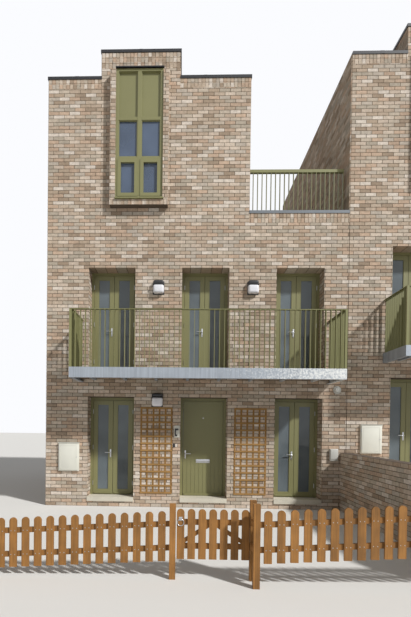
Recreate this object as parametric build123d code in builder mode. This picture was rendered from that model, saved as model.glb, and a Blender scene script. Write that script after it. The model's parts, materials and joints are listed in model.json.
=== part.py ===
from build123d import *
import os
from math import ceil

# A short row of two brick terraced houses on a sloping street, in millimetres.
# X runs along the front, Y runs into the houses and Z is up.
# The origin is in the middle of the front wall, at the lowest ground level.

# Driving dimensions of one house
HOUSE_WIDTH = 6330
HOUSE_DEPTH = 6000
HOUSE_STEP = 450
PLINTH = 200
WALL = 400
MOVEMENT_JOINT = 12

# Storeys, measured up from the ground-floor threshold of each house
GROUND_HEAD = 2130
FIRST_FLOOR = 2650
FIRST_HEAD = 4850
SECOND_FLOOR = 5700
SECOND_HEAD = 7900
SLAB = 250
ROOF_TOP = 8450
PARAPET = 8790
TERRACE_PARAPET = 5980

# Front openings, three to a storey
OPENING_WIDTH = 990
OPENING_COUNT = 3
FIRST_OPENING = 885
OPENING_PITCH = 1975
REVEAL = 320
BACK_SILL = 900

# Top storey, its raised window bay and the roof terrace beside it
BLOCK_WIDTH = 4245
BAY_LEFT = 1120
BAY_RIGHT = 2775
BAY_TOP = 9340
BAY_WALL = 200
BAY_DEPTH = 1630
BAY_WINDOW_LEFT = 1400
BAY_SILL = 6245
BAY_HEAD = 9030
BAY_TRANSOMS = (7180, 8010)
BAY_ROOF = 9200
BAY_ROOF_SLAB = 150
BAY_FRAME_SETBACK = 30
BAY_FRAME_DEPTH = 150
BAY_SIDE_BAR = 62
BAY_MULLION = 84
BAY_TRANSOM = 90
BAY_GLASS_RECESS = 40
BAY_PANEL_RECESS = 45
SURROUND_PIER = 110
SURROUND_PROJECTION = 140
SURROUND_SILL = 115
TERRACE_DOOR_START = 500

COPING = 60
COPING_LIP = 20

# Joinery
FRAME_WIDTH = 55
FRAME_DEPTH = 70
LEAF = 54
LEAF_GAP = 6
LATCH_GAP = 8
MEETING_GAP = 8
MEETING_REBATE = 6
HINGE_RADIUS = 8
HINGE_HEIGHT = 90
HINGE_LEVELS = (0.12, 0.5, 0.88)
GATE_HINGE_LEVELS = (0.25, 0.73)
SEAT = 0.3
STILE = 95
BOTTOM_RAIL = 110
GLASS = 24
SASH = 50
THRESHOLD = 90
THRESHOLD_NOSE = 30
BOARD_PITCH = 87
GROOVE = 8
GROOVE_DEPTH = 5
WEATHER_BAR = 25
LEVER_HEIGHT = 920
LEVER_LENGTH = 120
LEVER_REACH = 46
LEVER_ROD = 18
ROSE_WIDTH = 34
ROSE_HEIGHT = 180
ROSE = 8

# Balcony
BALCONY_START = 720
BALCONY_LENGTH = 5250
BALCONY_DEPTH = 920
CHANNEL_TOP = 2630
CHANNEL_HEIGHT = 200
CHANNEL_FLANGE = 75
CHANNEL_WEB = 10
DECK = 40
GUARD_HEIGHT = 1110
RAIL_WIDTH = 65
RAIL = 12
BAR_WIDTH = 60
BAR = 10
BAR_PITCH = 95
CORNER_POST = 45

# Guard of the roof terrace
TERRACE_RAIL = 62
TERRACE_GUARD_TOP = 6995
TERRACE_GUARD_END = 65

# Fittings on the front wall
LIGHT_SHADE = (230, 120, 195)
LIGHT_HOUSING = (215, 110, 80)
UPPER_LIGHT = 4290
LOWER_LIGHT = 1930
CABINET = (440, 600, 60)
CABINET_LEFT = 276
CABINET_BASE = 540

# Trellises, garden wall and fence
TRELLIS_WIDTH = 680
TRELLIS_HEIGHT = 1830
TRELLIS_COLUMNS = 5
TRELLIS_ROWS = 12
TRELLIS_SLAT = 38
TRELLIS_THICKNESS = 24
TRELLIS_BASE = 85
TRELLIS_SHIFT = -15
GARDEN_WALL = 215
GARDEN_WALL_TOP = 1000
GARDEN_LENGTH = 4200
GROUND_SLOPE = 0.059
GROUND_AT_LEFT = 40
PALE_WIDTH = 85
PALE = 20
PALE_HEIGHT = 560
PALE_PITCH = 143
FENCE_RAIL = 32
FENCE_RAIL_HEIGHT = 60
FENCE_POST = 70
FENCE_POST_HEIGHT = 640
GATE_LEFT = 2850
GATE_WIDTH = 810
GATE_GAP = 12
GATE_CLEARANCE = 20
BRACE_WIDTH = 80
LATCH_RING = 42
LATCH_ROD = 10
RUN_SETBACK = 230

# Derived places
FACADE = -WALL / 2
INNER = WALL / 2
BACK_INNER = FACADE + HOUSE_DEPTH - WALL
BACK = FACADE + HOUSE_DEPTH
BACK_MIDDLE = BACK - WALL / 2
BODY_WIDTH = HOUSE_WIDTH - MOVEMENT_JOINT
FRAME_FRONT = FACADE + REVEAL
FENCE_LINE = FACADE - GARDEN_LENGTH
HOUSES = ((-HOUSE_WIDTH, PLINTH), (0, PLINTH + HOUSE_STEP))
LEFT_HOUSE, RIGHT_HOUSE = HOUSES
OPENINGS = tuple(FIRST_OPENING + i * OPENING_PITCH for i in range(OPENING_COUNT))
FRONT_DOOR_OPENING = OPENINGS[1]
FRENCH_LEAF = (OPENING_WIDTH - 2 * FRAME_WIDTH - 2 * LEAF_GAP - MEETING_GAP) / 2
GROUND_LEAF_HEIGHT = GROUND_HEAD - FRAME_WIDTH - 2 * LEAF_GAP
FIRST_LEAF_HEIGHT = FIRST_HEAD - FIRST_FLOOR - FRAME_WIDTH - 2 * LEAF_GAP
DOOR_LEAF = OPENING_WIDTH - 2 * FRAME_WIDTH - LEAF_GAP - LATCH_GAP
DOOR_BACK = FRAME_FRONT + FRAME_DEPTH
HINGE_OFFSET = HINGE_RADIUS + SEAT


def front_plane(y):
    """Upright plane at y, seen from the street: its normal points to the street."""
    return Plane(origin=(0, y, 0), x_dir=(1, 0, 0), z_dir=(0, -1, 0))


def block(x, y, z, mode=Mode.ADD):
    """One rectangular block between two values on each axis."""
    size = (x[1] - x[0], y[1] - y[0], z[1] - z[0])
    with Locations((x[0], y[0], z[0])):
        Box(*size, align=(Align.MIN, Align.MIN, Align.MIN), mode=mode)


def pier_spans(left):
    """Widths of wall that stand between the openings of one house."""
    edges = [0]
    for opening in OPENINGS:
        edges += [opening, opening + OPENING_WIDTH]
    edges.append(BODY_WIDTH)
    return [(left + edges[i], left + edges[i + 1]) for i in range(0, len(edges), 2)]


def inner_left(left):
    """Inside face of the wall at the left of one house."""
    return left + WALL - (MOVEMENT_JOINT if left == RIGHT_HOUSE[0] else 0)


def ground_at(x):
    """Level of the sloping street side under the fence."""
    return GROUND_AT_LEFT + GROUND_SLOPE * (x + HOUSE_WIDTH)


def spread(start, end, pitch):
    """Evenly spaced places from start to end, no further apart than the pitch."""
    count = ceil((end - start) / pitch)
    return [start + (end - start) * i / count for i in range(count + 1)]


def uprights(places, size, z):
    """Equal upright bars with their centres at the given places."""
    with BuildSketch(Plane.XY.offset(z[0])) as plan:
        with Locations(*places):
            Rectangle(*size)
    extrude(plan.sketch, amount=z[1] - z[0])


# Front walls: base, piers and the bands over the openings
with BuildPart() as base_wall:
    with BuildSketch(front_plane(FACADE)):
        with BuildLine():
            Polyline(
                (-HOUSE_WIDTH, 0),
                (BODY_WIDTH, 0),
                (BODY_WIDTH, RIGHT_HOUSE[1] - THRESHOLD),
                (0, RIGHT_HOUSE[1] - THRESHOLD),
                (0, LEFT_HOUSE[1] - THRESHOLD),
                (-HOUSE_WIDTH, LEFT_HOUSE[1] - THRESHOLD),
                close=True,
            )
        make_face()
    extrude(amount=-WALL)

with BuildPart() as front_piers:
    for left, floor in HOUSES:
        for foot, head in ((-THRESHOLD, GROUND_HEAD), (FIRST_FLOOR, FIRST_HEAD)):
            with BuildSketch(Plane.XY.offset(floor + foot)):
                for start, end in pier_spans(left):
                    with Locations(((start + end) / 2, 0)):
                        Rectangle(end - start, WALL)
            extrude(amount=head - foot)

with BuildPart() as front_bands:
    for left, floor in HOUSES:
        for foot, head in ((GROUND_HEAD, FIRST_FLOOR), (FIRST_HEAD, SECOND_FLOOR)):
            with BuildSketch(Plane.XY.offset(floor + foot)):
                with Locations((left + BODY_WIDTH / 2, 0)):
                    Rectangle(BODY_WIDTH, WALL)
            extrude(amount=head - foot)


def back_openings(floor):
    """Sill and head of each back opening below the top storey; the middle one is a door."""
    spots = []
    for i, opening in enumerate(OPENINGS):
        sill = 0 if i == 1 else BACK_SILL
        spots.append((opening, floor + sill, floor + GROUND_HEAD))
        spots.append((opening, floor + FIRST_FLOOR + BACK_SILL, floor + FIRST_HEAD))
    return spots


def top_back_openings(floor):
    """Sill and head of the back windows of the top storey."""
    return [(opening, floor + SECOND_FLOOR + BACK_SILL, floor + SECOND_HEAD)
            for opening in OPENINGS[:2]]


with BuildPart() as back_walls:
    for left, floor in HOUSES:
        with BuildSketch(front_plane(BACK_INNER)):
            with Locations((left + BODY_WIDTH / 2, (floor + SECOND_FLOOR) / 2)):
                Rectangle(BODY_WIDTH, floor + SECOND_FLOOR)
            for opening, sill, head in back_openings(floor):
                with Locations((left + opening + OPENING_WIDTH / 2, (sill + head) / 2)):
                    Rectangle(OPENING_WIDTH, head - sill, mode=Mode.SUBTRACT)
        extrude(amount=-WALL)

# Top storey
with BuildPart() as third_storey_front_walls:
    for left, floor in HOUSES:
        with BuildSketch(front_plane(FACADE)):
            with BuildLine():
                Polyline(
                    (left, floor + SECOND_FLOOR),
                    (left + BLOCK_WIDTH, floor + SECOND_FLOOR),
                    (left + BLOCK_WIDTH, floor + PARAPET),
                    (left + BAY_RIGHT, floor + PARAPET),
                    (left + BAY_RIGHT, floor + BAY_TOP),
                    (left + BAY_LEFT, floor + BAY_TOP),
                    (left + BAY_LEFT, floor + PARAPET),
                    (left, floor + PARAPET),
                    close=True,
                )
            make_face()
            with Locations((left + BAY_WINDOW_LEFT + OPENING_WIDTH / 2,
                            floor + (BAY_SILL + BAY_HEAD) / 2)):
                Rectangle(OPENING_WIDTH, BAY_HEAD - BAY_SILL, mode=Mode.SUBTRACT)
        extrude(amount=-WALL)

with BuildPart() as third_storey_back_walls:
    for left, floor in HOUSES:
        with BuildSketch(front_plane(BACK_INNER)):
            with Locations((left + BLOCK_WIDTH / 2, floor + (SECOND_FLOOR + PARAPET) / 2)):
                Rectangle(BLOCK_WIDTH, PARAPET - SECOND_FLOOR)
            for opening, sill, head in top_back_openings(floor):
                with Locations((left + opening + OPENING_WIDTH / 2, (sill + head) / 2)):
                    Rectangle(OPENING_WIDTH, head - sill, mode=Mode.SUBTRACT)
        extrude(amount=-WALL)

TERRACE_DOOR = (INNER + TERRACE_DOOR_START, INNER + TERRACE_DOOR_START + OPENING_WIDTH)

with BuildPart() as terrace_side_walls:
    for left, floor in HOUSES:
        side = left + BLOCK_WIDTH
        block((side - WALL, side), (INNER, BACK_INNER), (floor + SECOND_FLOOR, floor + PARAPET))
        block((side - WALL, side), TERRACE_DOOR, (floor + SECOND_FLOOR, floor + SECOND_HEAD),
              Mode.SUBTRACT)

with BuildPart() as left_end_wall:
    block((-HOUSE_WIDTH, -HOUSE_WIDTH + WALL), (INNER, BACK_INNER), (0, PLINTH + PARAPET))

with BuildPart() as party_wall:
    block((-MOVEMENT_JOINT, WALL - MOVEMENT_JOINT), (INNER, BACK_INNER),
          (0, RIGHT_HOUSE[1] + PARAPET))

with BuildPart() as right_party_wall:
    block((BODY_WIDTH - WALL, BODY_WIDTH), (INNER, BACK_INNER),
          (0, RIGHT_HOUSE[1] + TERRACE_GUARD_TOP))

BAY_BACK = FACADE + BAY_DEPTH

with BuildPart() as bay_upper_walls:
    for left, floor in HOUSES:
        block((left + BAY_LEFT, left + BAY_RIGHT), (INNER, BAY_BACK),
              (floor + ROOF_TOP, floor + BAY_TOP))
        block((left + BAY_LEFT + BAY_WALL, left + BAY_RIGHT - BAY_WALL),
              (INNER, BAY_BACK - BAY_WALL), (floor + ROOF_TOP, floor + BAY_TOP), Mode.SUBTRACT)

with BuildPart() as terrace_parapets:
    for left, floor in HOUSES:
        for middle in (0, BACK_MIDDLE):
            block((left + BLOCK_WIDTH, left + BODY_WIDTH), (middle - WALL / 2, middle + WALL / 2),
                  (floor + SECOND_FLOOR, floor + TERRACE_PARAPET))

# Floors and roofs
with BuildPart() as floor_slabs:
    for left, floor in HOUSES:
        right = left + BODY_WIDTH - (WALL if left == RIGHT_HOUSE[0] else 0)
        for top, thickness in ((0, THRESHOLD), (FIRST_FLOOR, SLAB), (SECOND_FLOOR, SLAB)):
            block((inner_left(left), right), (INNER, BACK_INNER),
                  (floor + top - thickness, floor + top))

with BuildPart() as roof_slabs:
    for left, floor in HOUSES:
        block((inner_left(left), left + BLOCK_WIDTH - WALL), (INNER, BACK_INNER),
              (floor + ROOF_TOP - SLAB, floor + ROOF_TOP))
        shaft = (left + BAY_LEFT + BAY_WALL, left + BAY_RIGHT - BAY_WALL)
        block(shaft, (INNER, BAY_BACK - BAY_WALL),
              (floor + ROOF_TOP - SLAB, floor + ROOF_TOP), Mode.SUBTRACT)
        block(shaft, (INNER, BAY_BACK - BAY_WALL),
              (floor + BAY_ROOF - BAY_ROOF_SLAB, floor + BAY_ROOF))

# Thin metal copings on the parapets
with BuildPart() as parapet_copings:
    for left, floor in HOUSES:
        lip = COPING_LIP if left == LEFT_HOUSE[0] else 0
        with BuildSketch(Plane.XY.offset(floor + PARAPET)):
            with Locations((left + (BLOCK_WIDTH - lip + COPING_LIP) / 2,
                            FACADE + HOUSE_DEPTH / 2)):
                Rectangle(BLOCK_WIDTH + lip + COPING_LIP, HOUSE_DEPTH + 2 * COPING_LIP)
            with Locations((left + BLOCK_WIDTH / 2, FACADE + HOUSE_DEPTH / 2)):
                Rectangle(BLOCK_WIDTH - 2 * (WALL + COPING_LIP), HOUSE_DEPTH - 2 * (WALL + COPING_LIP),
                          mode=Mode.SUBTRACT)
            with Locations((left + (BAY_LEFT + BAY_RIGHT) / 2, 0)):
                Rectangle(BAY_RIGHT - BAY_LEFT, 2 * WALL, mode=Mode.SUBTRACT)
        extrude(amount=COPING)
        with BuildSketch(Plane.XY.offset(floor + BAY_TOP)):
            with Locations((left + (BAY_LEFT + BAY_RIGHT) / 2, FACADE + BAY_DEPTH / 2)):
                Rectangle(BAY_RIGHT - BAY_LEFT + 2 * COPING_LIP, BAY_DEPTH + 2 * COPING_LIP)
            with Locations((left + (BAY_LEFT + BAY_RIGHT) / 2,
                            (INNER + COPING_LIP + BAY_BACK - BAY_WALL - COPING_LIP) / 2)):
                Rectangle(BAY_RIGHT - BAY_LEFT - 2 * (BAY_WALL + COPING_LIP),
                          BAY_BACK - BAY_WALL - INNER - 2 * COPING_LIP, mode=Mode.SUBTRACT)
        extrude(amount=COPING)

with BuildPart() as terrace_copings:
    for left, floor in HOUSES:
        for depth in ((FACADE - COPING_LIP, INNER), (BACK_INNER, BACK + COPING_LIP)):
            block((left + BLOCK_WIDTH, left + BODY_WIDTH), depth,
                  (floor + TERRACE_PARAPET, floor + TERRACE_PARAPET + COPING))

# Projecting brick surround of the tall window
SURROUND_LEFT = BAY_WINDOW_LEFT - SURROUND_PIER
SURROUND_RIGHT = BAY_WINDOW_LEFT + OPENING_WIDTH + SURROUND_PIER

with BuildPart() as bay_surrounds:
    for left, floor in HOUSES:
        with BuildSketch(front_plane(FACADE)):
            with BuildLine():
                Polyline(
                    (left + SURROUND_LEFT, floor + BAY_SILL - SURROUND_SILL),
                    (left + SURROUND_RIGHT, floor + BAY_SILL - SURROUND_SILL),
                    (left + SURROUND_RIGHT, floor + BAY_HEAD),
                    (left + SURROUND_RIGHT - SURROUND_PIER, floor + BAY_HEAD),
                    (left + SURROUND_RIGHT - SURROUND_PIER, floor + BAY_SILL),
                    (left + SURROUND_LEFT + SURROUND_PIER, floor + BAY_SILL),
                    (left + SURROUND_LEFT + SURROUND_PIER, floor + BAY_HEAD),
                    (left + SURROUND_LEFT, floor + BAY_HEAD),
                    close=True,
                )
            make_face()
        extrude(amount=SURROUND_PROJECTION)

# Door frames: every doorway of the front, both storeys
DOORWAYS = [(left + opening, floor + foot, floor + head)
            for left, floor in HOUSES
            for opening in OPENINGS
            for foot, head in ((0, GROUND_HEAD), (FIRST_FLOOR, FIRST_HEAD))]

with BuildPart() as door_frame_jambs:
    for start, foot, head in DOORWAYS:
        for edge in (start, start + OPENING_WIDTH - FRAME_WIDTH):
            block((edge, edge + FRAME_WIDTH), (FRAME_FRONT, DOOR_BACK), (foot, head - FRAME_WIDTH))

with BuildPart() as door_frame_heads:
    for start, foot, head in DOORWAYS:
        block((start, start + OPENING_WIDTH), (FRAME_FRONT, DOOR_BACK), (head - FRAME_WIDTH, head))

with BuildPart() as door_thresholds:
    for left, floor in HOUSES:
        for opening in OPENINGS:
            block((left + opening, left + opening + OPENING_WIDTH),
                  (FACADE - THRESHOLD_NOSE, INNER), (floor - THRESHOLD, floor))


def leaf_outline(start, foot, width, height):
    """Stiles and rails of one glazed leaf, drawn on the current front plane."""
    with Locations((start + width / 2, foot + height / 2)):
        Rectangle(width, height)
    with Locations((start + width / 2, foot + (height + BOTTOM_RAIL - STILE) / 2)):
        Rectangle(width - 2 * STILE, height - BOTTOM_RAIL - STILE, mode=Mode.SUBTRACT)


def meeting_rebate(edge, inwards, foot, height):
    """Step in the inner half of a meeting stile, so that the leaf can swing past the other."""
    rebate = (edge, edge + inwards * MEETING_REBATE)
    block((min(rebate), max(rebate)), (FRAME_FRONT + LEAF / 2, FRAME_FRONT + LEAF),
          (foot, foot + height), Mode.SUBTRACT)


def hinge_barrels(x, y, foot, height, levels=HINGE_LEVELS):
    """Hinge barrels on one upright axis."""
    for level in levels:
        with BuildSketch(Plane.XY.offset(foot + level * height - HINGE_HEIGHT / 2)) as barrel:
            with Locations((x, y)):
                RegularPolygon(HINGE_RADIUS, 8, rotation=22.5)
        extrude(barrel.sketch, amount=HINGE_HEIGHT)


def pane_outline(start, foot, width, height):
    """Glass of one glazed leaf, drawn on the current front plane."""
    with Locations((start + width / 2, foot + (height + BOTTOM_RAIL - STILE) / 2)):
        Rectangle(width - 2 * STILE, height - BOTTOM_RAIL - STILE)


def pair_starts(start):
    """Left edges of the two leaves in one doorway."""
    first = start + FRAME_WIDTH + LEAF_GAP
    return first, first + FRENCH_LEAF + MEETING_GAP


def lever(x, z, y, towards):
    """Back plate, spindle and lever on the face at y, pointing towards +X or -X."""
    block((x - ROSE_WIDTH / 2, x + ROSE_WIDTH / 2), (y - ROSE, y),
          (z - ROSE_HEIGHT * 0.6, z + ROSE_HEIGHT * 0.4))
    block((x - LEVER_ROD / 2, x + LEVER_ROD / 2), (y - LEVER_REACH, y - ROSE),
          (z - LEVER_ROD / 2, z + LEVER_ROD / 2))
    reach = (x - LEVER_ROD / 2, x + towards * LEVER_LENGTH)
    block((min(reach), max(reach)), (y - LEVER_REACH, y - LEVER_REACH + LEVER_ROD),
          (z - LEVER_ROD / 2, z + LEVER_ROD / 2))


# Doors that stay shut: the first floor of both houses, and two doorways of the right house
FIXED_PAIRS = [(left + opening, floor + FIRST_FLOOR + LEAF_GAP, FIRST_LEAF_HEIGHT)
               for left, floor in HOUSES for opening in OPENINGS]
FIXED_PAIRS.append((RIGHT_HOUSE[0] + OPENINGS[2], RIGHT_HOUSE[1] + LEAF_GAP, GROUND_LEAF_HEIGHT))

def board_door(start, floor):
    """Boarded leaf with upright grooves and a weather bar at its foot."""
    foot = floor + LEAF_GAP
    front = DOOR_BACK - LEAF
    block((start, start + DOOR_LEAF), (front, DOOR_BACK), (foot, foot + GROUND_LEAF_HEIGHT))
    grooves = int(DOOR_LEAF / BOARD_PITCH)
    first = start + (DOOR_LEAF - (grooves - 1) * BOARD_PITCH) / 2
    for i in range(grooves):
        groove = first + i * BOARD_PITCH
        block((groove - GROOVE / 2, groove + GROOVE / 2), (front, front + GROOVE_DEPTH),
              (foot + 2 * WEATHER_BAR, foot + GROUND_LEAF_HEIGHT), Mode.SUBTRACT)
    block((start + LATCH_GAP + GROOVE, start + DOOR_LEAF - LATCH_GAP - GROOVE),
          (front - WEATHER_BAR, front), (foot, foot + 2 * WEATHER_BAR))


def board_door_fittings(start, floor):
    """Lever at the free edge, letter plate and viewer of the boarded leaf."""
    front = DOOR_BACK - LEAF
    middle = start + DOOR_LEAF / 2
    lever(start + STILE / 2, floor + LEVER_HEIGHT, front, 1)
    block((middle - 150, middle + 150), (front - ROSE, front), (floor + 720, floor + 800))
    with BuildSketch(front_plane(front)) as viewer:
        with Locations((middle, floor + 1700)):
            Circle(14)
    extrude(viewer.sketch, amount=ROSE)


DOOR_START = FRONT_DOOR_OPENING + FRAME_WIDTH + LATCH_GAP

with BuildPart() as front_door:
    board_door(LEFT_HOUSE[0] + DOOR_START, LEFT_HOUSE[1])

with BuildPart() as front_door_fittings:
    board_door_fittings(LEFT_HOUSE[0] + DOOR_START, LEFT_HOUSE[1])

with BuildPart() as fixed_door_leaves:
    for start, foot, height in FIXED_PAIRS:
        first, second = pair_starts(start)
        with BuildSketch(front_plane(FRAME_FRONT)):
            for edge in (first, second):
                leaf_outline(edge, foot, FRENCH_LEAF, height)
        extrude(amount=-LEAF)
        meeting_rebate(first + FRENCH_LEAF, -1, foot, height)
        meeting_rebate(second, 1, foot, height)
    board_door(RIGHT_HOUSE[0] + DOOR_START, RIGHT_HOUSE[1])

with BuildPart() as fixed_door_fittings:
    for start, foot, height in FIXED_PAIRS:
        lever(pair_starts(start)[0] + FRENCH_LEAF - STILE / 2, foot + LEVER_HEIGHT, FRAME_FRONT, -1)
    board_door_fittings(RIGHT_HOUSE[0] + DOOR_START, RIGHT_HOUSE[1])

# Glazed doors that open: both ground-floor pairs of the left house and one of the right house
MOVING_PAIRS = {
    "left_pair": (LEFT_HOUSE[0] + OPENINGS[0], LEFT_HOUSE[1] + LEAF_GAP),
    "right_pair": (LEFT_HOUSE[0] + OPENINGS[2], LEFT_HOUSE[1] + LEAF_GAP),
    "next_house_pair": (RIGHT_HOUSE[0] + OPENINGS[0], RIGHT_HOUSE[1] + LEAF_GAP),
}
moving_leaves = {}
for pair, (start, foot) in MOVING_PAIRS.items():
    for side, edge in zip(("left", "right"), pair_starts(start)):
        with BuildPart() as leaf:
            with BuildSketch(front_plane(FRAME_FRONT)):
                leaf_outline(edge, foot, FRENCH_LEAF, GROUND_LEAF_HEIGHT)
            extrude(amount=-LEAF)
            if side == "left":
                meeting_rebate(edge + FRENCH_LEAF, -1, foot, GROUND_LEAF_HEIGHT)
            else:
                meeting_rebate(edge, 1, foot, GROUND_LEAF_HEIGHT)
        with BuildPart() as pane:
            with BuildSketch(front_plane(FRAME_FRONT + (LEAF - GLASS) / 2)):
                pane_outline(edge, foot, FRENCH_LEAF, GROUND_LEAF_HEIGHT)
            extrude(amount=-GLASS)
        moving_leaves[f"{pair}_{side}_leaf"] = leaf
        moving_leaves[f"{pair}_{side}_glass"] = pane
    with BuildPart() as handle:
        lever(pair_starts(start)[0] + FRENCH_LEAF - STILE / 2, foot + LEVER_HEIGHT, FRAME_FRONT, -1)
    moving_leaves[f"{pair}_lever"] = handle

# Tall window of the top storey: two columns and three rows, solid panels at the top
BAY_FRAME_FRONT = FACADE - SURROUND_PROJECTION + BAY_FRAME_SETBACK
BAY_ROWS = ((BAY_SILL, BAY_TRANSOMS[0]), BAY_TRANSOMS, (BAY_TRANSOMS[1], BAY_HEAD))


def bay_lights(left, floor, rows):
    """Lights in some rows of one tall window, as centre and size."""
    column = (OPENING_WIDTH - 2 * BAY_SIDE_BAR - BAY_MULLION) / 2
    lights = []
    for low, high in rows:
        for i in range(2):
            x = left + BAY_WINDOW_LEFT + BAY_SIDE_BAR + column / 2 + i * (column + BAY_MULLION)
            lights.append((x, floor + (low + high) / 2, column, high - low - BAY_TRANSOM))
    return lights


# Back windows and doors
BACK_LIGHTS = [(left + opening, sill, head) for left, floor in HOUSES
               for opening, sill, head in back_openings(floor) + top_back_openings(floor)]
BACK_FRAME = BACK - REVEAL - FRAME_DEPTH


def back_panes(start, sill, head):
    """Two panes beside one another in a back window, as centre and size."""
    width = (OPENING_WIDTH - 3 * SASH) / 2
    return [(start + SASH + width / 2 + i * (width + SASH), (sill + head) / 2, width,
             head - sill - 2 * SASH) for i in range(2)]


with BuildPart() as window_frames:
    for left, floor in HOUSES:
        with BuildSketch(front_plane(BAY_FRAME_FRONT)):
            with Locations((left + BAY_WINDOW_LEFT + OPENING_WIDTH / 2,
                            floor + (BAY_SILL + BAY_HEAD) / 2)):
                Rectangle(OPENING_WIDTH, BAY_HEAD - BAY_SILL)
            for x, z, width, height in bay_lights(left, floor, BAY_ROWS[:2]):
                with Locations((x, z)):
                    Rectangle(width, height, mode=Mode.SUBTRACT)
        extrude(amount=-BAY_FRAME_DEPTH)
        for x, z, width, height in bay_lights(left, floor, BAY_ROWS[2:]):
            block((x - width / 2, x + width / 2), (BAY_FRAME_FRONT, BAY_FRAME_FRONT + BAY_PANEL_RECESS),
                  (z - height / 2, z + height / 2), Mode.SUBTRACT)
    for start, sill, head in BACK_LIGHTS:
        with BuildSketch(front_plane(BACK_FRAME)):
            with Locations((start + OPENING_WIDTH / 2, (sill + head) / 2)):
                Rectangle(OPENING_WIDTH, head - sill)
            for x, z, width, height in back_panes(start, sill, head):
                with Locations((x, z)):
                    Rectangle(width, height, mode=Mode.SUBTRACT)
        extrude(amount=-FRAME_DEPTH)

# Door from the top storey onto the terrace
with BuildPart() as terrace_doors:
    for left, floor in HOUSES:
        side = left + BLOCK_WIDTH - REVEAL
        foot, head = floor + SECOND_FLOOR, floor + SECOND_HEAD
        block((side, side + FRAME_DEPTH), TERRACE_DOOR, (foot, head))
        block((side, side + FRAME_DEPTH), (TERRACE_DOOR[0] + STILE, TERRACE_DOOR[1] - STILE),
              (foot + BOTTOM_RAIL, head - STILE), Mode.SUBTRACT)

with BuildPart() as fixed_glass:
    for start, foot, height in FIXED_PAIRS:
        with BuildSketch(front_plane(FRAME_FRONT + (LEAF - GLASS) / 2)):
            for edge in pair_starts(start):
                pane_outline(edge, foot, FRENCH_LEAF, height)
        extrude(amount=-GLASS)
    for left, floor in HOUSES:
        with BuildSketch(front_plane(BAY_FRAME_FRONT + BAY_GLASS_RECESS)):
            for x, z, width, height in bay_lights(left, floor, BAY_ROWS[:2]):
                with Locations((x, z)):
                    Rectangle(width, height)
        extrude(amount=-GLASS)
        middle = left + BLOCK_WIDTH - REVEAL + FRAME_DEPTH / 2
        block((middle - GLASS / 2, middle + GLASS / 2),
              (TERRACE_DOOR[0] + STILE, TERRACE_DOOR[1] - STILE),
              (floor + SECOND_FLOOR + BOTTOM_RAIL, floor + SECOND_HEAD - STILE))
    for start, sill, head in BACK_LIGHTS:
        with BuildSketch(front_plane(BACK_FRAME + (FRAME_DEPTH - GLASS) / 2)):
            for x, z, width, height in back_panes(start, sill, head):
                with Locations((x, z)):
                    Rectangle(width, height)
        extrude(amount=-GLASS)

# Balconies: a channel on three sides round a deck, and guards of flat bars set on edge
BALCONY_FRONT = FACADE - BALCONY_DEPTH

with BuildPart() as balcony_channels:
    for left, floor in HOUSES:
        start, end = left + BALCONY_START, left + BALCONY_START + BALCONY_LENGTH
        top, foot = floor + CHANNEL_TOP, floor + CHANNEL_TOP - CHANNEL_HEIGHT
        block((start, end), (BALCONY_FRONT, FACADE), (foot, top))
        block((start + CHANNEL_FLANGE, end - CHANNEL_FLANGE),
              (BALCONY_FRONT + CHANNEL_FLANGE, FACADE), (foot, top), Mode.SUBTRACT)
        block((start + CHANNEL_WEB, end - CHANNEL_WEB), (BALCONY_FRONT + CHANNEL_WEB, FACADE),
              (foot + CHANNEL_WEB, top - CHANNEL_WEB), Mode.SUBTRACT)

with BuildPart() as balcony_decks:
    for left, floor in HOUSES:
        start, end = left + BALCONY_START, left + BALCONY_START + BALCONY_LENGTH
        block((start + CHANNEL_WEB, end - CHANNEL_WEB), (BALCONY_FRONT + CHANNEL_WEB, FACADE),
              (floor + CHANNEL_TOP - CHANNEL_WEB - DECK, floor + CHANNEL_TOP - CHANNEL_WEB))


with BuildPart() as balcony_front_guards:
    for left, floor in HOUSES:
        start, end = left + BALCONY_START, left + BALCONY_START + BALCONY_LENGTH
        foot = floor + CHANNEL_TOP
        head = foot + GUARD_HEIGHT
        depth = (BALCONY_FRONT, BALCONY_FRONT + RAIL_WIDTH)
        block((start, end), depth, (head - RAIL, head))
        posts = (start + CORNER_POST / 2, end - CORNER_POST / 2)
        bars = [(x, BALCONY_FRONT + BAR_WIDTH / 2) for x in spread(*posts, BAR_PITCH)[1:-1]]
        uprights(bars, (BAR, BAR_WIDTH), (foot, head - RAIL))
        uprights([(x, BALCONY_FRONT + CORNER_POST / 2) for x in posts],
                 (CORNER_POST, CORNER_POST), (foot, head - RAIL))

with BuildPart() as balcony_side_guards:
    for left, floor in HOUSES:
        start, end = left + BALCONY_START, left + BALCONY_START + BALCONY_LENGTH
        foot = floor + CHANNEL_TOP
        head = foot + GUARD_HEIGHT
        reach = (BALCONY_FRONT + RAIL_WIDTH, FACADE)
        for rail in ((start, start + RAIL_WIDTH), (end - RAIL_WIDTH, end)):
            block(rail, reach, (head - RAIL, head))
            bars = [((rail[0] + rail[1]) / 2, y)
                    for y in spread(BALCONY_FRONT + CORNER_POST / 2, FACADE, BAR_PITCH)[1:-1]]
            uprights(bars, (BAR_WIDTH, BAR), (foot, head - RAIL))

# Guards at the front and back of the roof terrace
with BuildPart() as terrace_guards:
    for left, floor in HOUSES:
        start, end = left + BLOCK_WIDTH, left + BODY_WIDTH - TERRACE_GUARD_END
        foot = floor + TERRACE_PARAPET + COPING
        head = floor + TERRACE_GUARD_TOP
        for middle in (0, BACK_MIDDLE):
            block((start, end), (middle - RAIL_WIDTH / 2, middle + RAIL_WIDTH / 2),
                  (head - TERRACE_RAIL, head))
            uprights([(x, middle) for x in spread(start + BAR, end - BAR, BAR_PITCH)],
                     (BAR, BAR_WIDTH), (foot, head - TERRACE_RAIL))

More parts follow.
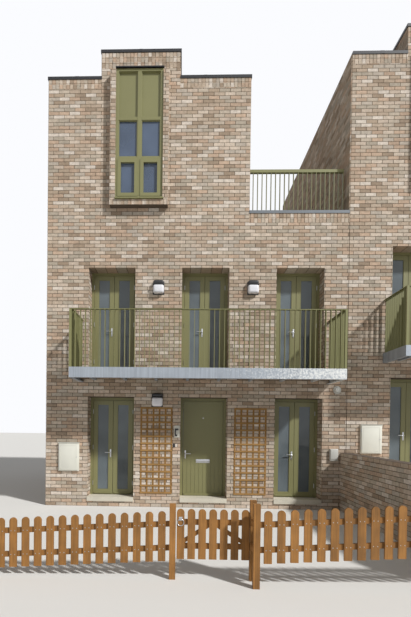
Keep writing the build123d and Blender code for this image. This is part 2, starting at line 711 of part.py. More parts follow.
# Wall lights at the middle of the piers between openings
PIER_MIDDLES = [OPENINGS[i] + OPENING_WIDTH + (OPENING_PITCH - OPENING_WIDTH) / 2
                for i in range(OPENING_COUNT - 1)]
LIGHTS = [(left + middle, floor + height) for left, floor in HOUSES for middle, height in (
    (PIER_MIDDLES[0], UPPER_LIGHT), (PIER_MIDDLES[1], UPPER_LIGHT), (PIER_MIDDLES[0], LOWER_LIGHT))]

with BuildPart() as wall_light_shades:
    width, depth, height = LIGHT_SHADE
    for x, z in LIGHTS:
        block((x - width / 2, x + width / 2), (FACADE - depth, FACADE), (z, z + height))

with BuildPart() as wall_light_housings:
    width, depth, height = LIGHT_HOUSING
    for x, z in LIGHTS:
        foot = z + LIGHT_SHADE[2]
        block((x - width / 2, x + width / 2), (FACADE - depth, FACADE), (foot, foot + height))

with BuildPart() as meter_cabinets:
    for left, floor in HOUSES:
        block((left + CABINET_LEFT, left + CABINET_LEFT + CABINET[0]), (FACADE - CABINET[2], FACADE),
              (floor + CABINET_BASE, floor + CABINET_BASE + CABINET[1]))

SERVICE_BOX = (170, 250, 70)
SERVICE_BOX_PLACE = (5950, 830)
SENSOR_RADIUS = 80
SENSOR_DEPTH = 90
SENSOR_PLACE = (6115, 2310)
BELL = (50, 110, 25)
BELL_PLACE = (2705, 1230)

with BuildPart() as wall_fittings:
    left, floor = LEFT_HOUSE
    for (x, z), (width, height, depth) in ((SERVICE_BOX_PLACE, SERVICE_BOX), (BELL_PLACE, BELL)):
        block((left + x, left + x + width), (FACADE - depth, FACADE), (floor + z, floor + z + height))
    with BuildSketch(front_plane(FACADE)):
        with Locations((left + SENSOR_PLACE[0], floor + SENSOR_PLACE[1])):
            Circle(SENSOR_RADIUS)
    extrude(amount=SENSOR_DEPTH)

# Trellises on the two piers beside the front door
with BuildPart() as trellises:
    left, floor = LEFT_HOUSE
    for middle in PIER_MIDDLES:
        with BuildSketch(front_plane(FACADE)):
            middle_height = floor + TRELLIS_BASE + TRELLIS_HEIGHT / 2
            with Locations((left + middle + TRELLIS_SHIFT, middle_height)):
                Rectangle(TRELLIS_WIDTH, TRELLIS_HEIGHT)
                pitch_x = (TRELLIS_WIDTH - TRELLIS_SLAT) / TRELLIS_COLUMNS
                pitch_z = (TRELLIS_HEIGHT - TRELLIS_SLAT) / TRELLIS_ROWS
                with GridLocations(pitch_x, pitch_z, TRELLIS_COLUMNS, TRELLIS_ROWS):
                    Rectangle(pitch_x - TRELLIS_SLAT, pitch_z - TRELLIS_SLAT, mode=Mode.SUBTRACT)
        extrude(amount=TRELLIS_THICKNESS)

# Picket fence along the street side, with a gate; its right run stands nearer the street
GATE_START = -HOUSE_WIDTH + GATE_LEFT
GATE_END = GATE_START + GATE_WIDTH
LEFT_POST = GATE_START - GATE_GAP - FENCE_POST
RIGHT_POST = GATE_END + LEAF_GAP
RUN_LINE = FENCE_LINE - RUN_SETBACK
RAIL_LEVELS = (0.2, 0.68)
GARDEN_WALL_LEFT = -(MOVEMENT_JOINT + GARDEN_WALL) / 2
END_POST = GARDEN_WALL_LEFT - FENCE_POST

# Garden wall between the two front gardens
with BuildPart() as garden_wall:
    block((GARDEN_WALL_LEFT, GARDEN_WALL_LEFT + GARDEN_WALL),
          (RUN_LINE + FENCE_RAIL - FENCE_POST, FACADE), (0, LEFT_HOUSE[1] + GARDEN_WALL_TOP))


def pales(feet, line):
    """Upright pales with round tops, their backs on the line, from the feet given as (x, z)."""
    straight = PALE_HEIGHT - PALE_WIDTH / 2
    with BuildSketch(front_plane(line)) as face:
        with Locations(*[(x, z + straight / 2) for x, z in feet]):
            Rectangle(PALE_WIDTH, straight)
        with Locations(*[(x, z + straight) for x, z in feet]):
            Circle(PALE_WIDTH / 2)
    extrude(face.sketch, amount=PALE)


def sloping_rail(start, end, line, level):
    """A rail behind the pales that follows the ground."""
    rise = level * PALE_HEIGHT
    with BuildSketch(front_plane(line)) as face:
        with BuildLine():
            Polyline(
                (start, ground_at(start) + rise),
                (end, ground_at(end) + rise),
                (end, ground_at(end) + rise + FENCE_RAIL_HEIGHT),
                (start, ground_at(start) + rise + FENCE_RAIL_HEIGHT),
                close=True,
            )
        make_face()
    extrude(face.sketch, amount=-FENCE_RAIL)


def fence_run(start, end, line):
    """Two rails with pales along them."""
    for level in RAIL_LEVELS:
        sloping_rail(start, end, line, level)
    pales([(x, ground_at(x)) for x in spread(start + PALE_WIDTH, end - PALE_WIDTH, PALE_PITCH)],
          line)


FENCE_RUNS = ((-HOUSE_WIDTH + FENCE_POST, LEFT_POST, FENCE_LINE),
              (RIGHT_POST + FENCE_POST, END_POST, RUN_LINE))

with BuildPart() as picket_fence:
    for start, end, line in FENCE_RUNS:
        fence_run(start, end, line)
    foot = ground_at(RIGHT_POST)
    side = RIGHT_POST + FENCE_RAIL
    reach = (RUN_LINE + FENCE_RAIL, FENCE_LINE + FENCE_RAIL - FENCE_POST)
    for level in RAIL_LEVELS:
        rise = foot + level * PALE_HEIGHT
        block((RIGHT_POST, side), reach, (rise, rise + FENCE_RAIL_HEIGHT))
    with BuildSketch(Plane.YZ.offset(side)) as face:
        middle = sum(reach) / 2
        straight = PALE_HEIGHT - PALE_WIDTH / 2
        with Locations((middle, foot + straight / 2)):
            Rectangle(PALE_WIDTH, straight)
        with Locations((middle, foot + straight)):
            Circle(PALE_WIDTH / 2)
    extrude(face.sketch, amount=PALE)

POSTS = ((-HOUSE_WIDTH, FENCE_LINE), (LEFT_POST, FENCE_LINE), (RIGHT_POST, FENCE_LINE),
         (RIGHT_POST, RUN_LINE), (END_POST, RUN_LINE))

with BuildPart() as fence_posts:
    for x, line in POSTS:
        block((x, x + FENCE_POST), (line + FENCE_RAIL - FENCE_POST, line + FENCE_RAIL),
              (0, ground_at(x) + FENCE_POST_HEIGHT))

GATE_FOOT = ground_at(GATE_START) + GATE_CLEARANCE

with BuildPart() as gate:
    rails = [GATE_FOOT + level * PALE_HEIGHT for level in RAIL_LEVELS]
    for rail in rails:
        block((GATE_START, GATE_END), (FENCE_LINE, FENCE_LINE + FENCE_RAIL),
              (rail, rail + FENCE_RAIL_HEIGHT))
    gate_middle = (GATE_START + GATE_END) / 2
    low, high = rails[0] + FENCE_RAIL_HEIGHT, rails[1]
    with BuildSketch(front_plane(FENCE_LINE)) as braces:
        for end, inwards in ((GATE_START, 1), (GATE_END, -1)):
            with BuildLine():
                Polyline(
                    (end, low),
                    (end + inwards * BRACE_WIDTH, low),
                    (gate_middle, high),
                    (gate_middle - inwards * BRACE_WIDTH, high),
                    close=True,
                )
            make_face()
    extrude(braces.sketch, amount=-FENCE_RAIL)
    pales([(x, GATE_FOOT)
           for x in spread(GATE_START + PALE_WIDTH / 2, GATE_END - PALE_WIDTH / 2, PALE_PITCH)],
          FENCE_LINE)

# Round latch ring on the first pale of the gate
with BuildPart() as gate_latch:
    with BuildSketch(front_plane(FENCE_LINE - PALE)) as ring:
        with Locations((GATE_START + PALE_WIDTH / 2, rails[1] + FENCE_RAIL_HEIGHT / 2)):
            Circle(LATCH_RING)
            Circle(LATCH_RING - LATCH_ROD, mode=Mode.SUBTRACT)
    extrude(ring.sketch, amount=LATCH_ROD)

# Hinges: in front of the glazed leaves, which open out, and behind the boarded doors and the gate
with BuildPart() as hinges:
    outward = FIXED_PAIRS + [(*place, GROUND_LEAF_HEIGHT) for place in MOVING_PAIRS.values()]
    for start, foot, height in outward:
        near = start + FRAME_WIDTH + LEAF_GAP / 2
        far = start + OPENING_WIDTH - FRAME_WIDTH - LEAF_GAP / 2
        for x in (near, far):
            hinge_barrels(x, FRAME_FRONT - HINGE_OFFSET, foot, height)
    for left, floor in HOUSES:
        x = left + DOOR_START + DOOR_LEAF + LEAF_GAP / 2
        hinge_barrels(x, DOOR_BACK + HINGE_OFFSET, floor + LEAF_GAP, GROUND_LEAF_HEIGHT)
    hinge_barrels(GATE_END + LEAF_GAP / 2, FENCE_LINE + FENCE_RAIL + HINGE_OFFSET, GATE_FOOT,
                  PALE_HEIGHT, GATE_HINGE_LEVELS)

# Labels and files
PIECES = {
    "base_wall": base_wall,
    "front_piers": front_piers,
    "front_bands": front_bands,
    "back_walls": back_walls,
    "third_storey_front_walls": third_storey_front_walls,
    "third_storey_back_walls": third_storey_back_walls,
    "terrace_side_walls": terrace_side_walls,
    "left_end_wall": left_end_wall,
    "party_wall": party_wall,
    "right_party_wall": right_party_wall,
    "bay_upper_walls": bay_upper_walls,
    "terrace_parapets": terrace_parapets,
    "floor_slabs": floor_slabs,
    "roof_slabs": roof_slabs,
    "parapet_copings": parapet_copings,
    "terrace_copings": terrace_copings,
    "bay_surrounds": bay_surrounds,
    "door_frame_jambs": door_frame_jambs,
    "door_frame_heads": door_frame_heads,
    "door_thresholds": door_thresholds,
    "hinges": hinges,
    "fixed_door_leaves": fixed_door_leaves,
    "fixed_door_fittings": fixed_door_fittings,
    "front_door": front_door,
    "front_door_fittings": front_door_fittings,
    "window_frames": window_frames,
    "terrace_doors": terrace_doors,
    "fixed_glass": fixed_glass,
    "balcony_channels": balcony_channels,
    "balcony_decks": balcony_decks,
    "balcony_front_guards": balcony_front_guards,
    "balcony_side_guards": balcony_side_guards,
    "terrace_guards": terrace_guards,
    "wall_light_housings": wall_light_housings,
    "wall_light_shades": wall_light_shades,
    "meter_cabinets": meter_cabinets,
    "wall_fittings": wall_fittings,
    "trellises": trellises,
    "garden_wall": garden_wall,
    "picket_fence": picket_fence,
    "fence_posts": fence_posts,
    "gate": gate,
    "gate_latch": gate_latch,
    **moving_leaves,
}

os.makedirs("parts", exist_ok=True)
for name, piece in PIECES.items():
    piece.part.label = name
    export_step(piece.part, f"parts/{name}.step")
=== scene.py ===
"""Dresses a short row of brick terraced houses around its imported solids.

Lengths are in metres, in the frame of the solids: X along the front, Y into the houses, Z up.
"""

import json
import logging
import math
from dataclasses import dataclass
from enum import Enum

import bmesh
import bpy
from mathutils import Matrix, Vector


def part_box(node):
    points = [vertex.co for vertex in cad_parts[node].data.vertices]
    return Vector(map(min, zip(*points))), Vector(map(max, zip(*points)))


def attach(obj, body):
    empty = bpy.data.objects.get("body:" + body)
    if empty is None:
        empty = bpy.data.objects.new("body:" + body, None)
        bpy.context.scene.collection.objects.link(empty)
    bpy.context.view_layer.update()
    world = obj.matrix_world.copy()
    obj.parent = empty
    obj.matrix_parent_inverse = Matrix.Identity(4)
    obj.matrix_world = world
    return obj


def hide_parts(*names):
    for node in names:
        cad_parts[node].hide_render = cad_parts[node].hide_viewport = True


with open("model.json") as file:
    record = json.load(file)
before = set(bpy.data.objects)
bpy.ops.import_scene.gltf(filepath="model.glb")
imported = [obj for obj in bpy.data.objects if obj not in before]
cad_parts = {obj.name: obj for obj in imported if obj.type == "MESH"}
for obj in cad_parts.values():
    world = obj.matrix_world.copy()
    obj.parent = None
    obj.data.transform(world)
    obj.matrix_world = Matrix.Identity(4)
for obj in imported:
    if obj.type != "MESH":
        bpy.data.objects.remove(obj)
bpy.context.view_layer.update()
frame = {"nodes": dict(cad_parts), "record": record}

logging.basicConfig(level=logging.INFO, format="%(message)s")
log = logging.getLogger("terraced_row")

Span = tuple[float, float]
Patch = tuple[float, float, float, float]
Point = tuple[float, float, float]
Piece = bpy.types.Object
Material = bpy.types.Material
Tree = bpy.types.NodeTree
Node = bpy.types.Node
Socket = bpy.types.NodeSocket

# Plan: depths in the row's frame, and places along the front from the left edge of a house
HOUSE_WIDTH = 6.33
MOVEMENT_JOINT = 0.012
WALL = 0.4
FACADE = -0.2
INNER = 0.2
BACK_INNER = 5.4
BACK = 5.8
BLOCK_WIDTH = 4.245
OPENINGS = (0.885, 2.86, 4.835)
OPENING_WIDTH = 0.99
TERRACE_DOOR = (0.7, 1.69)
PIERS = tuple((left + OPENING_WIDTH + right) / 2 for left, right in zip(OPENINGS, OPENINGS[1:]))

# Levels above the floor line of a house
GROUND_HEAD = 2.13
FIRST_FLOOR = 2.65
FIRST_HEAD = 4.85
SECOND_FLOOR = 5.7
TERRACE_PARAPET = 5.98
SECOND_HEAD = 7.9
ROOF_TOP = 8.45
PARAPET = 8.79

# Drop of a doorway's hole below its floor, rise of a back sill above it, and a coping's height
THRESHOLD = 0.09
BACK_SILL = 0.9
COPING = 0.06

# Raised bay and its tall window: edges along the front, levels and depths
BAY = (1.12, 2.775)
BAY_OPENING = (1.4, 2.39)
BAY_WINDOW = (1.44, 2.43)
BAY_SURROUND = (1.33, 2.54)
BAY_TOP = 9.34
BAY_BACK = 1.43
BAY_HOLE = (6.245, 9.03)
BAY_HEAD = 8.925
BAY_COURSES_FOOT = 9.0025
BAY_FRONT = -0.31
BAY_FRAME = 0.15
SURROUND = (6.1, 6.215, 8.89)
SURROUND_FRONT = -0.34

# Joinery and glass
REVEAL = 0.32
FRAME_FRONT = 0.12
FRAME_DEPTH = 0.07
JAMB = 0.055
LEAF = 0.054
LEAF_FOOT = 0.006
LEAF_GAP = 0.006
MEETING_GAP = 0.008
FRENCH_LEAF = 0.43
STILE = 0.095
BOTTOM_RAIL = 0.11
GROUND_LEAF_HEIGHT = 2.063
FIRST_LEAF_HEIGHT = 2.133
BOARDED_GAP = 0.008
BOARDED_LEAF = 0.866
LEVER_LEVEL = 0.92
GLASS = 0.024

# Bricks with their joints: laid flat, and on edge
BRICK_JOINT = 0.010
BRICK_LENGTH = 0.225
BRICK_COURSE = 0.075
ON_EDGE = 0.1125
ON_EDGE_BAND = 0.1975

# The bond starts half a joint before the left edge of the row
BOND_START = -HOUSE_WIDTH - BRICK_JOINT / 2

# Fence and gate: height of the pales, and the two rails as shares of it
PALE_HEIGHT = 0.56
GATE_RAILS = (0.25, 0.73)
FENCE_RAILS = (0.2, 0.68)


@dataclass(frozen=True)
class House:
    """One house of the row: its left edge and its ground floor."""

    name: str
    left: float
    floor: float

    @property
    def right(self) -> float:
        """Right edge of its brickwork."""
        return self.left + HOUSE_WIDTH - MOVEMENT_JOINT

    @property
    def inner_right(self) -> float:
        """Inside face of the wall at its right side."""
        return self.right if self.left < 0 else self.right - WALL

    def across(self, *edges: float) -> tuple[float, ...]:
        """Places along the front, from their distances to the left edge."""
        return tuple(self.left + edge for edge in edges)

    def up(self, *levels: float) -> tuple[float, ...]:
        """Heights, from their distances to the floor line."""
        return tuple(self.floor + level for level in levels)

    def back_holes(self) -> list[Patch]:
        """Window and door holes of its back wall."""
        holes = []
        for i, opening in enumerate(OPENINGS):
            across = self.across(opening, opening + OPENING_WIDTH)
            sill = 0.0 if i == 1 else BACK_SILL
            holes.append((*across, *self.up(sill, GROUND_HEAD)))
            holes.append((*across, *self.up(FIRST_FLOOR + BACK_SILL, FIRST_HEAD)))
            if i < 2:
                holes.append((*across, *self.up(SECOND_FLOOR + BACK_SILL, SECOND_HEAD)))
        return holes


LEFT_HOUSE = House("left_house", -HOUSE_WIDTH, 0.2)
RIGHT_HOUSE = House("right_house", 0.0, 0.65)
HOUSES = (LEFT_HOUSE, RIGHT_HOUSE)


class Body(str, Enum):
    """Bodies of the row that move, and the one that stays."""

    ROW = "house_row"
    FRONT_DOOR = "front_door"
    GATE = "gate"


class Slot(str, Enum):
    """Material slots of the record."""

    BRICK = "brick"
    CONCRETE = "concrete"
    SILL_STONE = "sill_stone"
    DARK_METAL = "dark_metal"
    PALE_METAL = "pale_metal"
    PAINTED_WOOD = "painted_wood"
    SATIN_STEEL = "satin_steel"
    WINDOW_GLASS = "window_glass"
    GALVANISED_STEEL = "galvanised_steel"
    DECKING = "decking"
    GREEN_STEEL = "green_steel"
    OPAL_PLASTIC = "opal_plastic"
    CREAM_PLASTIC = "cream_plastic"
    GREY_PLASTIC = "grey_plastic"
    TIMBER = "timber"


class Grain(Enum):
    """Direction along which timber grain or brick courses run."""

    ALONG_X = "x"
    ALONG_Y = "y"
    ALONG_Z = "z"
    BY_NORMAL = "normal"


def linear(code: str) -> tuple[float, float, float, float]:
    """Turns an sRGB hex value into linear colour.

    Args:
        code: Six hex digits with a leading hash.

    Returns:
        Red, green and blue in linear light, and full alpha.
    """
    shares = [int(code[i:i + 2], 16) / 255 for i in (1, 3, 5)]
    curve = [s / 12.92 if s <= 0.04045 else ((s + 0.055) / 1.055) ** 2.4 for s in shares]
    return curve[0], curve[1], curve[2], 1.0


def feed(tree: Tree, source: Node | Socket, target: Socket) -> None:
    """Links a socket, or the first output of a node, to an input."""
    tree.links.new(source.outputs[0] if isinstance(source, Node) else source, target)


def add_node(tree: Tree, kind: str, settings: dict | None = None,
             inputs: dict | None = None) -> Node:
    """Adds one shader node with its settings and links.

    Args:
        tree: The material's node tree.
        kind: Blender's name of the node type.
        settings: Properties of the node.
        inputs: For each input, a value, or the node or socket that feeds it.

    Returns:
        The new node.
    """
    node = tree.nodes.new(kind)
    for name, value in (settings or {}).items():
        setattr(node, name, value)
    for name, source in (inputs or {}).items():
        if isinstance(source, (Node, Socket)):
            feed(tree, source, node.inputs[name])
        else:
            node.inputs[name].default_value = source
    return node


def per_metre(millimetres: float) -> float:
    """Scale of a pattern whose features have this size."""
    return 1000.0 / millimetres


@dataclass(frozen=True)
class Finish:
    """A surface with its colour, gloss and fine relief."""

    name: str
    colour: str
    roughness: float
    metallic: float = 0.0

    def start(self) -> tuple[Material, Tree, Node, Socket]:
        """Makes an empty material.

        Returns:
            The material, its tree, its shader and the object coordinates.
        """
        material = bpy.data.materials.new(self.name)
        material.use_nodes = True
        tree = material.node_tree
        tree.nodes.clear()
        shader = add_node(tree, "ShaderNodeBsdfPrincipled", inputs={
            "Roughness": self.roughness, "Metallic": self.metallic})
        add_node(tree, "ShaderNodeOutputMaterial", inputs={"Surface": shader})
        place = add_node(tree, "ShaderNodeTexCoord").outputs["Object"]
        return material, tree, shader, place

    def shades(self, tree: Tree, amount: Node, dark: float, light: float) -> Node:
        """Spreads the colour between a darker and a lighter shade of itself.

        Args:
            tree: The material's node tree.
            amount: Node that gives a value from 0, dark, to 1, light.
            dark: Factor of the darkest shade.
            light: Factor of the lightest shade.

        Returns:
            The node that gives the shaded colour.
        """
        ramp = add_node(tree, "ShaderNodeValToRGB", inputs={"Fac": amount})
        for stop, position, factor in zip(ramp.color_ramp.elements, (0.25, 0.75), (dark, light)):
            stop.position = position
            stop.color = (*(min(share * factor, 1) for share in linear(self.colour)[:3]), 1)
        return ramp

    def cover(self, tree: Tree, shader: Node, colour: Node | Socket, height: Node | Socket,
              depth: float, strength: float = 0.6) -> None:
        """Gives the shader its colour and its fine relief.

        Args:
            tree: The material's node tree.
            shader: The material's shader.
            colour: What the colour comes from.
            height: What the relief comes from.
            depth: Depth of the relief.
            strength: How much of the relief shows.
        """
        feed(tree, colour, shader.inputs["Base Color"])
        bump = add_node(tree, "ShaderNodeBump", inputs={
            "Height": height, "Distance": depth, "Strength": strength})
        feed(tree, bump, shader.inputs["Normal"])


@dataclass(frozen=True)
class CoatedSurface(Finish):
    """Powder coat or paint, sprayed or brushed: even colour, soft highlights, some orange peel.

    The peel is drawn coarser than it is, so that it shows.
    """

    weather_mm: float = 700.0
    unevenness: float = 0.05
    peel_mm: float = 30.0
    peel_depth: float = 0.0004

    def build(self) -> Material:
        """Makes the material."""
        material, tree, shader, place = self.start()
        weather = add_node(tree, "ShaderNodeTexNoise", inputs={
            "Vector": place, "Scale": per_metre(self.weather_mm), "Detail": 4.0})
        peel = add_node(tree, "ShaderNodeTexNoise", inputs={
            "Vector": place, "Scale": per_metre(self.peel_mm), "Detail": 2.0})
        colour = self.shades(tree, weather, 1 - self.unevenness, 1 + self.unevenness)
        self.cover(tree, shader, colour, peel, self.peel_depth)
        return material


@dataclass(frozen=True)
class StockBrick(Finish):
    """Multi stock brick, fired from mixed clay: every brick has its own buff, pink, grey or brown.

    The bricks are 215 by 65 mm with 10 mm joints, and each one is sandy and mottled. The sand is
    drawn coarser than it is, so that it shows. The finish's own colour is that of the mortar, made
    darker than the mortar is, as painted shade in the raked joints.
    """

    # Mortar colour, darkened as painted shade in the raked joints
    colour: str = "#584c40"
    roughness: float = 0.92
    run: Grain = Grain.BY_NORMAL
    joints: bool = True
    length: float = BRICK_LENGTH
    course: float = BRICK_COURSE
    bond: float = 0.5
    shades_fired: tuple[str, ...] = (
        "#cbbba9", "#b9a793", "#ad9a85", "#c2b19f", "#b59d87", "#d2c6b8", "#aca08f", "#bfa68f",
        "#b3a08c", "#bbad9b", "#9c8975", "#b7ab9c")
    mottle_mm: float = 45.0
    mottle: Span = (0.8, 1.16)
    weather_mm: float = 1800.0
    weather: Span = (0.93, 1.05)
    sand_mm: float = 12.0
    sand_depth: float = 0.0012
    joint_depth: float = 0.004

    def along(self, tree: Tree, place: Socket) -> tuple[Node | Socket, Socket]:
        """Coordinate along the courses, and height.

        Args:
            tree: The material's node tree.
            place: The object coordinates.

        Returns:
            Where a point is along the wall, and its height.
        """
        parts = add_node(tree, "ShaderNodeSeparateXYZ", inputs={0: place})
        if self.run is Grain.ALONG_X:
            return parts.outputs["X"], parts.outputs["Z"]
        if self.run is Grain.ALONG_Y:
            return parts.outputs["Y"], parts.outputs["Z"]
        facing = add_node(tree, "ShaderNodeSeparateXYZ", inputs={
            0: add_node(tree, "ShaderNodeNewGeometry").outputs["Normal"]})
        sideways = add_node(tree, "ShaderNodeMath", {"operation": "ABSOLUTE"}, {0: facing})
        flank = add_node(tree, "ShaderNodeMath", {"operation": "GREATER_THAN"},
                         {0: sideways, 1: 0.5})
        pick = add_node(tree, "ShaderNodeMix", inputs={
            0: flank, 2: parts.outputs["X"], 3: parts.outputs["Y"]})
        return pick, parts.outputs["Z"]

    def fired(self, tree: Tree, place: Socket, unit: Node, row: Node) -> Node:
        """Colour of the bricks: one shade drawn for each, mottled and weathered.

        Args:
            tree: The material's node tree.
            place: The object coordinates.
            unit: Number of the brick in its course.
            row: Number of the course.

        Returns:
            The node that gives the colour.
        """
        brick = add_node(tree, "ShaderNodeCombineXYZ", inputs={0: unit, 1: row})
        draw = add_node(tree, "ShaderNodeTexWhiteNoise", {"noise_dimensions": "2D"},
                        {"Vector": brick})
        ramp = add_node(tree, "ShaderNodeValToRGB", inputs={"Fac": draw})
        ramp.color_ramp.interpolation = "CONSTANT"
        stops = ramp.color_ramp.elements
        while len(stops) < len(self.shades_fired):
            stops.new(len(stops) / len(self.shades_fired))
        for i, code in enumerate(self.shades_fired):
            stops[i].position = i / len(self.shades_fired)
            stops[i].color = linear(code)
        tones = []
        for size, detail, rough, (dark, light) in ((self.mottle_mm, 4.0, 0.65, self.mottle),
                                                   (self.weather_mm, 3.0, 0.5, self.weather)):
            cloud = add_node(tree, "ShaderNodeTexNoise", inputs={
                "Vector": place, "Scale": per_metre(size), "Detail": detail, "Roughness": rough})
            tones.append(add_node(tree, "ShaderNodeMapRange", inputs={
                "Value": cloud, "From Min": 0.3, "From Max": 0.7, "To Min": dark,
                "To Max": light}))
        tone = add_node(tree, "ShaderNodeMath", {"operation": "MULTIPLY"}, dict(enumerate(tones)))
        return add_node(tree, "ShaderNodeVectorMath", {"operation": "SCALE"},
                        {0: ramp, "Scale": tone})

    def gap(self, tree: Tree, units: Node, rows: Node) -> Node:
        """Marks the joints: 1 in the mortar and 0 on a brick.

        Args:
            tree: The material's node tree.
            units: Place along the course, counted in bricks.
            rows: Height, counted in courses.

        Returns:
            The node that gives the mark.
        """
        gaps = []
        for count, size in ((units, self.length), (rows, self.course)):
            part = add_node(tree, "ShaderNodeMath", {"operation": "FRACT"}, {0: count})
            off = add_node(tree, "ShaderNodeMath", {"operation": "SUBTRACT"}, {0: part, 1: 0.5})
            reach = add_node(tree, "ShaderNodeMath", {"operation": "ABSOLUTE"}, {0: off})
            gaps.append(add_node(tree, "ShaderNodeMath", {"operation": "GREATER_THAN"},
                                 {0: reach, 1: 0.5 - BRICK_JOINT / 2 / size}))
        return add_node(tree, "ShaderNodeMath", {"operation": "MAXIMUM"}, dict(enumerate(gaps)))

    def build(self) -> Material:
        """Makes the material."""
        material, tree, shader, place = self.start()
        along, height = self.along(tree, place)
        rows = add_node(tree, "ShaderNodeMath", {"operation": "DIVIDE"},
                        {0: height, 1: self.course})
        row = add_node(tree, "ShaderNodeMath", {"operation": "FLOOR"}, {0: rows})
        odd = add_node(tree, "ShaderNodeMath", {"operation": "FLOORED_MODULO"}, {0: row, 1: 2.0})
        start = add_node(tree, "ShaderNodeMath", {"operation": "MULTIPLY_ADD"},
                         {0: along, 1: 1 / self.length, 2: -BOND_START / self.length})
        units = add_node(tree, "ShaderNodeMath", {"operation": "MULTIPLY_ADD"},
                         {0: odd, 1: -self.bond, 2: start})
        unit = add_node(tree, "ShaderNodeMath", {"operation": "FLOOR"}, {0: units})
        fired = self.fired(tree, place, unit, row)
        sand = add_node(tree, "ShaderNodeTexNoise", inputs={
            "Vector": place, "Scale": per_metre(self.sand_mm), "Detail": 3.0})
        if not self.joints:
            self.cover(tree, shader, fired, sand, self.sand_depth, 0.7)
            return material
        gap = self.gap(tree, units, rows)
        # The joints take the mortar colour, which holds painted shade
        mixed = add_node(tree, "ShaderNodeMix", {"data_type": "RGBA"},
                         {0: gap, 6: fired.outputs[0], 7: linear(self.colour)})
        relief = add_node(tree, "ShaderNodeMath", {"operation": "MULTIPLY_ADD"},
                          {0: sand, 1: 0.25, 2: 1.0})
        face = add_node(tree, "ShaderNodeMath", {"operation": "SUBTRACT"}, {0: relief, 1: gap})
        self.cover(tree, shader, mixed.outputs[2], face, self.joint_depth, 0.7)
        return material


@dataclass(frozen=True)
class StainedSoftwood(Finish):
    """Rough-sawn softwood, dipped in stain: long grain, darker knots and drier patches.

    The grain is drawn a little wider than it is, so that it shows.
    """

    grain: Grain = Grain.ALONG_Z
    board: float = 0.0
    fine_mm: float = 7.0
    long_mm: float = 260.0
    patch_mm: float = 170.0
    grain_share: float = 0.6
    board_tints: Span = (0.78, 1.12)

    def build(self) -> Material:
        """Makes the material."""
        material, tree, shader, place = self.start()
        fine, long = per_metre(self.fine_mm), per_metre(self.long_mm)
        stretch = (long, fine, fine) if self.grain is Grain.ALONG_X else (fine, fine, long)
        drawn = add_node(tree, "ShaderNodeMapping", inputs={"Vector": place, "Scale": stretch})
        grain = add_node(tree, "ShaderNodeTexNoise", inputs={
            "Vector": drawn, "Scale": 1.0, "Detail": 4.0, "Distortion": 0.4})
        patch = add_node(tree, "ShaderNodeTexNoise", inputs={
            "Vector": place, "Scale": per_metre(self.patch_mm), "Detail": 2.0})
        lines = add_node(tree, "ShaderNodeMath", {"operation": "MULTIPLY"},
                         {0: grain, 1: self.grain_share})
        tone = add_node(tree, "ShaderNodeMath", {"operation": "MULTIPLY_ADD"},
                        {0: patch, 1: 1 - self.grain_share, 2: lines})
        colour = self.shades(tree, tone, 0.5, 1.35)
        if self.board:
            parts = add_node(tree, "ShaderNodeSeparateXYZ", inputs={0: place})
            count = add_node(tree, "ShaderNodeMath", {"operation": "MULTIPLY"},
                             {0: parts, 1: 1 / self.board})
            board = add_node(tree, "ShaderNodeMath", {"operation": "FLOOR"}, {0: count})
            draw = add_node(tree, "ShaderNodeTexWhiteNoise", {"noise_dimensions": "1D"},
                            {"W": board})
            tint = add_node(tree, "ShaderNodeMapRange", inputs={
                "Value": draw, "To Min": self.board_tints[0], "To Max": self.board_tints[1]})
            colour = add_node(tree, "ShaderNodeVectorMath", {"operation": "SCALE"},
                              {0: colour, "Scale": tint})
        self.cover(tree, shader, colour, grain, 0.0012)
        return material


@dataclass(frozen=True)
class HotDipZinc(Finish):
    """Steel dipped in molten zinc: grey-blue with fine upright runs, white bloom to one end."""

    run_mm: Point = (26.0, 90.0, 900.0)
    run_share: float = 0.65
    cloud_mm: float = 420.0
    bloom_mm: float = 30.0
    bloom: Span = (3.3, 5.9)
    bloom_colour: str = "#e5e6e3"
    bloom_roughness: float = 0.85

    def build(self) -> Material:
        """Makes the material."""
        material, tree, shader, place = self.start()
        drawn = add_node(tree, "ShaderNodeMapping", inputs={
            "Vector": place, "Scale": tuple(map(per_metre, self.run_mm))})
        runs = add_node(tree, "ShaderNodeTexNoise", inputs={
            "Vector": drawn, "Scale": 1.0, "Detail": 4.0})
        cloud = add_node(tree, "ShaderNodeTexNoise", inputs={
            "Vector": place, "Scale": per_metre(self.cloud_mm), "Detail": 5.0})
        clouds = add_node(tree, "ShaderNodeMath", {"operation": "MULTIPLY"},
                          {0: cloud, 1: 1 - self.run_share})
        tone = add_node(tree, "ShaderNodeMath", {"operation": "MULTIPLY_ADD"},
                        {0: runs, 1: self.run_share, 2: clouds})
        grey = self.shades(tree, tone, 0.72, 1.25)
        axes = add_node(tree, "ShaderNodeSeparateXYZ", inputs={0: place})
        along = add_node(tree, "ShaderNodeMath", {"operation": "FLOORED_MODULO"},
                         {0: axes, 1: HOUSE_WIDTH})
        reach = add_node(tree, "ShaderNodeMapRange", inputs={
            "Value": along, "From Min": self.bloom[0], "From Max": self.bloom[1]})
        spots = add_node(tree, "ShaderNodeTexNoise", inputs={
            "Vector": place, "Scale": per_metre(self.bloom_mm), "Detail": 6.0})
        covered = add_node(tree, "ShaderNodeMath", {"operation": "MULTIPLY_ADD"},
                           {0: reach, 1: 0.4, 2: spots})
        amount = add_node(tree, "ShaderNodeMapRange", inputs={
            "Value": covered, "From Min": 0.66, "From Max": 1.0})
        mixed = add_node(tree, "ShaderNodeMix", {"data_type": "RGBA"},
                         {0: amount, 6: grey, 7: linear(self.bloom_colour)})
        feed(tree, mixed.outputs[2], shader.inputs["Base Color"])
        gloss = add_node(tree, "ShaderNodeMapRange", inputs={
            "Value": amount, "To Min": self.roughness, "To Max": self.bloom_roughness})
        feed(tree, gloss, shader.inputs["Roughness"])
        return material


